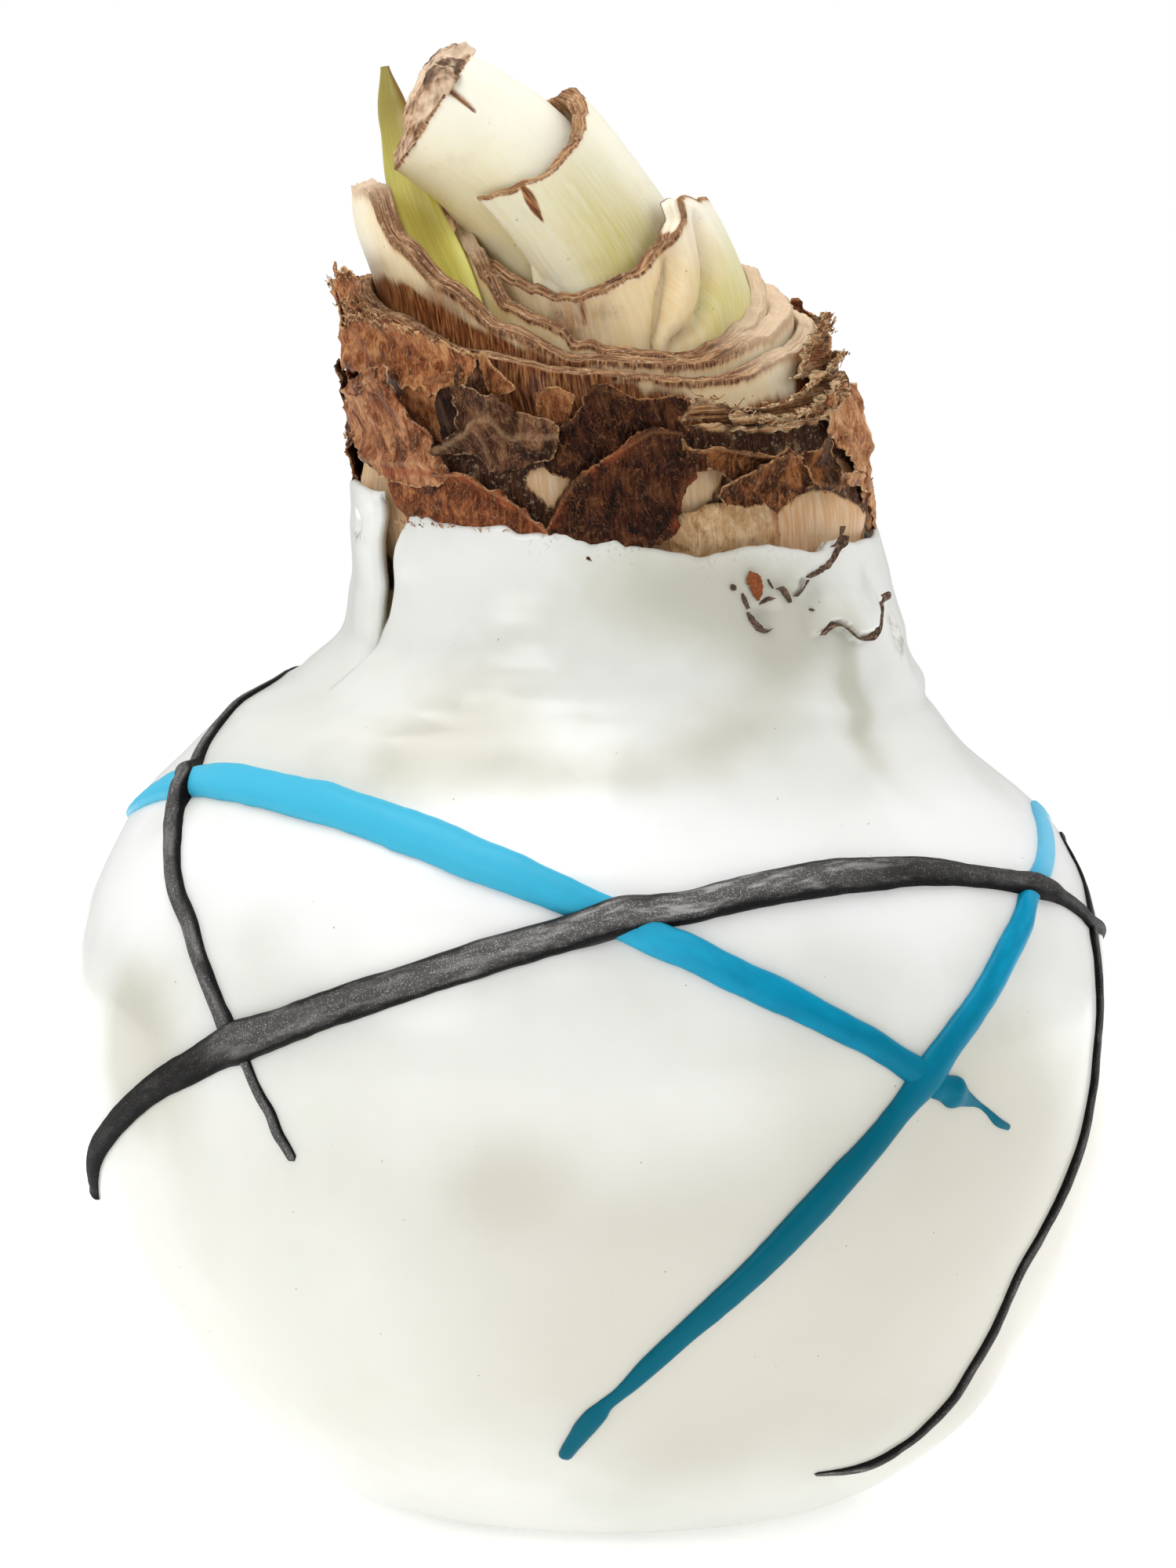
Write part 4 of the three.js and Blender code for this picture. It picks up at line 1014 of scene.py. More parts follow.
def leafPoint(angle, radius, run):
    # angle 0 is the upper right side, 90 the back, -90 the front
    ahead = (onAxis(min(run + 0.4, axisWhole)) - onAxis(max(run - 0.4, 0))).normalized()
    over = Vector((0, 1, 0)).cross(ahead).normalized()
    side, turn = ahead.cross(over), math.radians(angle)
    return onAxis(run) + over * (radius * math.cos(turn)) + side * (radius * math.sin(turn))


def leafEnd():
    # which way the axis points at its end
    return (onAxis(axisWhole) - onAxis(axisWhole - 0.8)).normalized()


def girthAt(spec, angle, run):
    share = run / axisWhole
    return readStops(spec["girth"], share) + readStops(spec["bulge"], share) * max(0, math.cos(math.radians(angle)))


def nearLine(line, angle, run, radius=10.5):
    # distance from a point of a sheath to a line of [angle, run] stops, and how far along it is
    best, place, spread = 99, 0, math.radians(radius)
    for number, ((a, b), (c, d)) in enumerate(zip(line, line[1:])):
        dx, dy, px, py = (c - a) * spread, d - b, (angle - a) * spread, run - b
        along = min(1, max(0, (px * dx + py * dy) / max(1e-9, dx * dx + dy * dy)))
        away = math.hypot(px - along * dx, py - along * dy)
        if away < best:
            best, place = away, (number + along) / (len(line) - 1)
    return best, place


foldedLeaf = {
    # girth and bulge by share of the axis, rim by angle, valleys and ridges as lines of [angle, run]
    "girth": [(0, 10.9), (0.36, 10.4), (0.66, 8.9), (0.82, 8.3)],
    "bulge": [(0.2, 0), (0.32, 1.6), (0.4, 2.4), (0.47, 2.8), (0.57, 2.9), (0.66, 2)],
    "from": -180, "to": 180, "thickness": 1.1, "size": 10.4, "columns": 260, "foot": 0.2, "seed": 51,
    "rim": [(-180, 34.5), (-152, 34.2), (-138, 32), (-129, 29.8), (-120, 28), (-108, 26.1), (-98, 25.4), (-87, 25.2),
            (-67, 25.3), (-52, 26), (-37, 26.9), (-30, 28), (-24, 27.9), (-15, 27.2), (0, 27), (60, 27), (110, 29),
            (150, 32), (180, 34.5)],
    "jag": 0.1, "bevel": 0.42, "ribs": 0.26, "curl": 0.12, "stain": 0.35,
    "valleys": [([(-50, 25), (-54, 23.8), (-60, 22.8), (-65, 21.2), (-69, 19.8), (-71, 17)], 1.7, 0.5),
                ([(-30, 26), (-34, 23.8), (-39, 22.2), (-46, 21), (-60, 20), (-64, 19.2)], 1.5, 0.45),
                ([(-97, 24.6), (-99, 22.5)], 0.12, 0.6)],
    "ridges": [([(-43, 27), (-46, 24.6), (-52, 22.8), (-58, 21), (-66, 19.6)], 1.1, 0.8),
               ([(-34, 28), (-29, 26), (-27, 23.8), (-30, 22)], 0.9, 1.5)],
}
splitLeaf = {
    "girth": [(0, 9.4), (0.36, 9), (0.61, 7.5), (0.84, 7.3)], "bulge": [(0.4, 0), (0.62, 1.3), (0.84, 1.5)],
    "from": -117, "to": 119, "size": 7.8, "columns": 240, "foot": 0.3, "seed": 67,
    "rim": [(-117, 37.7), (-110, 37.1), (-91, 36), (-73, 35.3), (-60, 35.3), (-48, 35.5), (-34, 36), (-21, 36.6),
            (-5, 37.4), (20, 38.2), (60, 39), (119, 39)],
    "jag": 0.1, "bevel": 0.3, "ribs": 0.3, "curl": 0.15, "stain": 0.3,
    "wound": [(-88, 35.9), (-89, 34.8), (-91.5, 33.4), (-92.5, 32.2)],
}
coreLeaf = {
    "girth": [(0, 8), (0.36, 7.7), (0.61, 6.75), (0.8, 6.45), (0.93, 6.1), (1, 5.9)], "bulge": [(0, 0), (1, 0)],
    "columns": 200, "footRows": 4, "rows": 120, "cutRows": 16, "tear": [(-58, 46.5), (-62, 44.2), (-66, 42.4)],
}


def foldRelief(angle, run):
    lift = 0.1 * speckle(angle / 17, run / 5, 3) + 0.03 * speckle(angle / 4, run / 4)
    for kind, sign, start, gain in (("valleys", -1, 0.25, 0.6), ("ridges", 1, 0.3, 0.5)):
        for line, depth, reach in foldedLeaf[kind]:
            away, place = nearLine(line, angle, run)
            lift += sign * depth * bell(away, reach) * math.sin(math.pi * min(1, start + gain * place))
    return lift


def woundAt(angle, run, wide=0.42):
    # a gash shaped like a lens
    away, place = nearLine(splitLeaf["wound"], angle, run, 8)
    reach = 0.08 + wide * math.sin(math.pi * min(0.98, max(0.05, place)))
    return math.exp(-(away / reach) ** 4)


def layLeaf(name, spec, finish, node):
    shape = newShape()
    layWall(shape, spec, lambda angle, inset, run: leafPoint(angle, girthAt(spec, angle, run) - inset, run))
    addPiece(shape, name, finish, "leaf_base", node)


def makeCoreLeaf(finish):
    shape, foot, rows, face = newShape(), coreLeaf["footRows"], coreLeaf["rows"], coreLeaf["cutRows"]

    def place(across, up):
        angle = 360 * across - 180
        row, turn = round(up * (rows + face + foot)), math.radians(360 * across)
        if row < foot:  # closed below
            return leafPoint(angle, 8 * row / foot, 0), Vector(), Vector()
        if row <= rows + foot:
            share = (row - foot) / rows
            run = axisWhole * (1 - (1 - share) ** 1.8) + 0.12 * ringNoise(angle, 6, 2) * ease(0.9, 1, share)
            away, along = nearLine(coreLeaf["tear"], angle, run, 6)
            radius = girthAt(coreLeaf, angle, run) + 0.08 * ringNoise(angle, 2.5, run / 5)
            radius -= 0.45 * bell(away, 0.15 + 0.5 * (1 - along))
            dry = math.exp(-(axisWhole - run) / 0.4)
            mark = 0.8 * bell(away, 0.18 + 0.35 * (1 - along))
            tone = 0.18 + 0.3 * bell(angle + 105, 28) * (1 - ease(40, 44, run))
            return (leafPoint(angle, radius, min(run, axisWhole)), ringSpot(turn, 15, run * 0.28),
                    Vector((dry, tone, mark)))
        share = (row - rows - foot) / face  # the dried cut
        radius = girthAt(coreLeaf, angle, axisWhole) * (1 - share)
        x, y = radius * math.cos(turn), radius * math.sin(turn)
        crust = -0.25 * ease(0, 0.2, share) + 0.25 * speckle(x, y, 8) + 0.12 * speckle(x * 3, y * 3)
        middle = 0.45 * math.exp(-(((x + 2.4) / 2.2) ** 2 + (y / 2.6) ** 2))
        return (leafPoint(angle, radius, axisWhole) + leafEnd() * (crust * min(1, 6 * share)),
                Vector((x * 1.5, y * 0.5, 70)), Vector((1 - middle, 0, 0)))

    layGrid(shape, coreLeaf["columns"], rows + face + foot, place)
    addPiece(shape, "coreLeaf", finish, "leaf_base", "core_leaf_base")


def makeLeafBases():
    green = scaleFinish("leaf base", "fbeec4", "d0c160", halo=0.8, topLight=0.6)
    cream = scaleFinish("folded leaf base", "f0d6a4", "dfd488", halo=0.6, topLight=0.85)
    foldedLeaf["relief"] = foldRelief
    foldedLeaf["fresh"] = lambda angle: ease(-50, -38, angle) * (1 - ease(80, 110, angle)) * 0.85
    # painted shade along the fold valleys, and a brownish patch below the rim at the front left
    foldedLeaf["mark"] = lambda angle, run: max(
        0.4 * bell(nearLine(valley[0], angle, run)[0], 0.16) * ease(27.5, 24, run)
        for valley in foldedLeaf["valleys"]) + 0.6 * bump(angle, run, -107, 23, 26, 3.6)
    foldedLeaf["tone"] = lambda angle, run: ease(-62, -30, angle) * (1 - ease(20, 70, angle)) * (
        0.75 - 0.65 * bell(angle + 38, 9) * ease(21, 25, run)) * (1 - 0.8 * ease(23, 27, run)) + 0.1
    layLeaf("foldedLeaf", foldedLeaf, cream, "folded_leaf_base")
    splitLeaf["thickness"] = lambda angle: (0.25 + 0.75 * ease(-100, -40, angle) + 0.5 * ease(-40, 0, angle)) * (
        1 - ease(95, 119, angle)) * ease(-117, -111, angle) + 0.02
    splitLeaf["relief"] = lambda angle, run: 0.07 * speckle(angle / 14, run / 5) + 0.02 * speckle(
        angle / 2.5, run / 8) - 0.14 * woundAt(angle, run) + 0.1 * woundAt(angle, run, 0.9)
    splitLeaf["tone"] = lambda angle, run: 0.35 + 0.65 * bell(angle + 55, 22) * (
        1 - 0.5 * ease(31, 36, run)) - 0.3 * ease(-80, -112, angle)
    splitLeaf["mark"] = lambda angle, run: max(woundAt(angle, run), 0.34 * (1 - ease(-116.8, -115, angle)))
    layLeaf("splitLeaf", splitLeaf, green, "split_leaf_base")
    makeCoreLeaf(green)


makeLeafBases()

witheredTip = {
    "radius": 5.4, "thickness": 3.8, "offset": 0.3, "lean": 0.33, "swell": 0.13,
    # each how high and how fine: the folds, the roughness on them, the lobes round the rim
    "folds": [(1, 1.7), (0.6, 3.9)], "rough": [(0.05, 9), (0.02, 19)], "lobes": [(0.07, 5), (0.05, 11)],
}


def makeWitheredTip():
    board = Board("withered leaf")
    place = board.place()
    fold = board.clouds(board.stretch(place, (1, 1, 0.5)), 1100, 6, 0.7, 0.6)
    blotch = board.clouds(place, 330, 3, 0.6)
    colour = board.ramp(fold, [(0.36, "6b4730"), (0.48, "b08866"), (0.62, "e2c09e")])
    high = board.soft(board.parts(place)[2], 0.119, 0.1245)
    spots = board.soft(blotch + high * 0.22, 0.64, 0.8)
    colour = board.over(colour, (board.soft(blotch, 0.55, 0.38) * 0.7, "f4dcc0"), (spots * 0.8, "3a2c22"))
    finish = board.done(Base_Color=colour, Roughness=0.8, Normal=board.bump(fold, 0.3, 0.8), Specular_IOR_Level=0.25)
    shape = newShape()
    tip, shift = witheredTip, leafPoint(0, witheredTip["offset"], axisWhole) - leafPoint(0, 0, axisWhole)
    for vert in bmesh.ops.create_icosphere(shape, subdivisions=6, radius=1)["verts"]:
        spot = vert.co.copy()
        angle, wide = math.degrees(math.atan2(spot.y, spot.x)), math.hypot(spot.x, spot.y)
        fold = sum(high * (1 - 2 * abs(noise.noise(spot * fine))) for high, fine in tip["folds"])
        swell = sum((high * noise.noise(spot * fine) for high, fine in tip["rough"]), 1 + tip["swell"] * fold)
        crumple = sum((high * math.sin(fine * math.radians(angle)) for high, fine in tip["lobes"]), 1)
        high = 0.5 + tip["lean"] * spot.x + 0.12 * noise.noise(spot * 2.2)
        out = tip["thickness"] * high * max(-0.12, spot.z) * swell
        reach = tip["radius"] * crumple * wide * (1 + 0.5 * (swell - 1))
        setVert(shape, vert, (leafPoint(angle, reach, axisWhole) + leafEnd() * out + shift, Vector(), Vector()))
    addPiece(shape, "witheredTip", finish, "tunic_fibre", "withered_leaf_tip")


makeWitheredTip()


# the green sprout

sprout = {
    "axis": [(-8.6, -9.4, 80.35), (-9.7, -9.5, 92), (-10.5, -9.4, 100), (-12.7, -5.9, 106.5), (-15.9, 2.6, 113),
             (-17.3, 5.4, 119), (-18.2, 5.6, 123.7)],
    "widths": [3.4, 4.2, 4.9, 5.5, 4.7, 3.3, 0.9], "thick": 1.3, "keel": 0.5, "keelPlace": 0.5,
    "faces": (-0.55, -0.83, 0), "columns": 36, "rows": 120,
}


def makeSprout():
    board = Board("sprout green")
    across, side, share = board.parts(board.mark("marks"))
    vein = board.clouds(board.stretch(board.mark("grain"), (3.4, 0.1, 1)), 1.6, 3, 0.45)
    # painted highlight: a pale line along the keel on the upper face
    keel = board.soft(abs(across - (0.5 + sprout["keelPlace"] * 0.5)), 0.05, 0.0)
    # painted shade: the narrow facet right of the keel is painted darker olive low on the blade, where it turns from
    # the light
    shadedFacet = board.soft(across, 0.78, 0.86) * board.soft(share, 0.75, 0.6)
    colour = board.over(board.mix(board.soft(vein, 0.25, 0.8), "d3cd5a", "e2dd82"),
                        (board.soft(share, 0.6, 0.9) * 0.75, "86702c"), (board.soft(share, 0.5, 0.3) * 0.4, "d9dc8e"),
                        (shadedFacet * 0.75, "7d8230"),
                        (board.soft(across, 0.1, 0.0) * board.soft(share, 0.6, 0.8) * 0.7, "8d5a3a"),
                        (keel * side * board.soft(share, 0.8, 0.65) * 0.85, "f2f5cf"))
    finish = board.done(Base_Color=colour, Roughness=0.36, Normal=board.bump(vein, 0.03, 0.5),
                        Subsurface_Weight=0.3, Subsurface_Radius=(0.8, 1.0, 0.3), Subsurface_Scale=0.001,
                        Coat_Weight=0.2, Coat_Roughness=0.25)
    shape, rows = newShape(), sprout["rows"]
    line = smoothLine(sprout["axis"], rows)

    def point(across, up):
        at = round(up * rows)
        ahead = (line[min(at + 2, rows)] - line[max(at - 2, 0)]).normalized()
        face = Vector(sprout["faces"]).cross(ahead).normalized()
        out = face.cross(ahead)
        width, turn = readEven(sprout["widths"], up), math.tau * across
        sideways, outward = math.cos(turn), math.sin(turn)
        thin = sprout["thick"] * min(1, width / 2.6)
        keel = sprout["keel"] * bell(sideways - sprout["keelPlace"], 0.3) * max(0, outward)
        hollow = 0.18 * math.cos(sideways * 3.2) * min(0, outward)
        spot = line[at] + face * (sideways * width / 2) + out * (outward * thin * 0.5 - 0.2 * hollow)
        spot += out * (keel * min(1, width / 3))
        return spot, Vector((sideways * width / 2, up * 44, 3)), Vector((0.5 + sideways / 2, outward > 0, up))

    layGrid(shape, sprout["columns"], rows, point)
    addPiece(shape, "greenSprout", finish, "sprout", "green_sprout")


makeSprout()


# papery tunics: each sheet is cut to its torn outline and bent round the neck

sheetCell, sheetThick, edgeStep = 0.17, 0.16, 0.12  # the flat sheets' mesh, their thickness, steps along their edge
plainSheet = {"jag": 0.2, "crumple": 0.25, "rim": 0.22, "folds": (), "reds": ()}  # where a sheet says nothing else
edgeWaves = [(0.8, 1, 0), (2.1, 0.6, 4), (5.5, 0.35, 9)]  # the torn edge: how fine, how strong, its own seed


def tearEdge(outline, radius, jag, seed):
    # walks the outline in small steps on the flat sheet, in mm, and makes it ragged
    wide, points, run = math.radians(radius), [], 0
    corners = [Vector((angle * wide, height)) for angle, height in outline]
    for first, second in zip(corners, corners[1:] + corners[:1]):
        way = second - first
        count = max(1, round(way.length / edgeStep))
        across = Vector((-way.y, way.x)).normalized()
        for step in range(count):
            spot = run + way.length * step / count
            ragged = jag * sum(strong * speckle(spot * fine, seed + own) for fine, strong, own in edgeWaves)
            points.append(first + way * (step / count) + across * ragged)
        run += way.length
    return numpy.array(points)


def measureFrom(spots, line, closed=True):
    # how far each spot is from a line, the nearest place on it, and whether the spot is inside
    ends = numpy.roll(line, -1, 0) if closed else line[1:]
    starts = line if closed else line[:-1]
    way = ends - starts
    offset = spots[:, None] - starts
    along = numpy.clip((offset * way).sum(2) / ((way ** 2).sum(1) + 1e-12), 0, 1)
    nearest = starts + along[..., None] * way
    away = ((spots[:, None] - nearest) ** 2).sum(2)
    best, rows = away.argmin(1), numpy.arange(len(spots))
    level = spots[:, 1:2]
    spans = (starts[:, 1] > level) != (ends[:, 1] > level)
    hits = spots[:, :1] < starts[:, 0] + way[:, 0] * (level - starts[:, 1]) / (way[:, 1] + 1e-12)
    inside = (spans & hits).sum(1) % 2 == 1
    return numpy.sqrt(away[rows, best]), nearest[rows, best], inside


def laySheet(shape, sheet, seed):
    sheet = {**plainSheet, **sheet}
    radius, wide, rough = sheet["radius"], math.radians(sheet["radius"]), sheet["crumple"]
    edge = tearEdge(sheet["outline"], radius, sheet["jag"], seed)
    low, high = edge.min(0) - sheetCell, edge.max(0) + sheetCell
    counts = [max(4, round(length / sheetCell)) for length in high - low]
    verts = bmesh.ops.create_grid(shape, x_segments=counts[0], y_segments=counts[1], size=0.5)["verts"]
    spots = numpy.array([vert.co.xy for vert in verts]) + 0.5
    spots = low + spots * (high - low)
    away, nearest, inside = measureFrom(spots, edge)
    depth = numpy.where(inside, away, -away)

    def gapTo(line):
        # how far each spot is from a line of [angle, height]
        return measureFrom(spots, numpy.array([(angle * wide, height) for angle, height in line]), False)[0]

    folds = [(gapTo(line), rise, reach) for line, rise, reach in sheet["folds"]]
    reds = numpy.zeros(len(spots))
    for line, reach in sheet["reds"]:
        reds = numpy.maximum(reds, numpy.exp(-(gapTo(line) / reach) ** 2))
    kept = [(vert, number) for number, vert in enumerate(verts) if depth[number] > -0.45 * sheetCell]
    chosen = {vert for vert, number in kept}
    bmesh.ops.delete(shape, geom=[vert for vert in verts if vert not in chosen], context="VERTS")
    loose = [vert for vert, number in kept if not vert.link_faces]
    dropped = set(loose)
    bmesh.ops.delete(shape, geom=loose, context="VERTS")
    for vert, number in kept:
        if vert in dropped:
            continue
        x, height = nearest[number] if vert.is_boundary else spots[number]
        inner = max(0, depth[number])
        lift = rough * (speckle(x / 2.4, height / 2.4, seed) + 0.5 * speckle(x, height / 1.1, seed + 2))
        lift += 0.8 * rough * (0.5 - abs(speckle(x / 1.5 + height / 5, height / 2.6, seed + 6)) * 2)
        crease = 0
        for gap, rise, reach in folds:
            part = math.exp(-gap[number] / reach)
            lift += rise * part
            crease = max(crease, rise * bell(gap[number], 0.13))
        lift += 0.22 * math.exp(-inner / 0.5) * (0.4 + 2 * speckle(x / 0.9, height / 0.9, seed + 7))
        point = neckPoint(x / wide, radius + lift, height)
        dry = math.exp(-inner / sheet["rim"])
        setVert(shape, vert, (point, Vector((x, height, seed)), Vector((dry, float(reds[number]), min(1, crease)))))


def skinFinish(name, dark, middle, pale, rim, fuzz=0.35, red="7c2a1c", turned=False):
    board = Board(name)
    place, grain = board.place(), board.mark("grain")
    if turned:  # fibres lie along the rim
        grain = board.stretch(grain, (0.12, 9, 1))
    dry, tone, crease = board.parts(board.mark("marks"))
    veins = board.clouds(board.stretch(grain, (5.2, 0.3, 1)), 1.0, 4, 0.65)
    blotch = board.clouds(board.stretch(grain, (0.5, 0.36, 1)), 1.0, 5, 0.62, 0.8)
    folded = board.clouds(board.stretch(grain, (1.3, 0.75, 1)), 1.0, 3, 0.5, 1.2)
    fuzzy = board.clouds(board.stretch(place, (1, 1, 0.55)), 3600, 3, 0.8)
    crack = board.soft(abs(folded - 0.5), 0.022, 0.003)
    pit = board.soft(board.clouds(place, 900, 4, 0.7), 0.6, 0.66)
    torn = board.mix(board.soft(board.clouds(place, 420, 3, 0.6), 0.4, 0.54), dark, rim)
    edge = board.soft(dry + (veins - 0.5) * 0.5, 0.5, 0.78)
    body = board.over(board.ramp(blotch * 0.74 + veins * 0.26, [(0.39, dark), (0.5, middle), (0.61, pale)]),
                      (crack * 0.3, rim), (board.soft(folded, 0.5, 0.3) * 0.35, dark),
                      (board.soft(fuzzy, 0.5, 0.72) * fuzz, rim), (pit * 0.35, dark),
                      (tone * 0.6 * board.soft(blotch, 0.36, 0.56), board.mix(veins, red, "a8502e")),
                      (crease * 0.5, rim), (edge * 0.75, torn))
    lumps = None
    for height, deep, strength in ((blotch, 0.55, 0.8), (folded, 0.45, 0.9), (veins, 0.12, 0.5),
                                   (fuzzy, 0.08, 0.25 + fuzz * 0.8)):
        lumps = board.bump(height, deep, strength, lumps)
    return board.done(Base_Color=body, Roughness=board.soft(blotch, 0.2, 0.8) * 0.25 + 0.4, Normal=lumps,
                      Specular_IOR_Level=0.1)


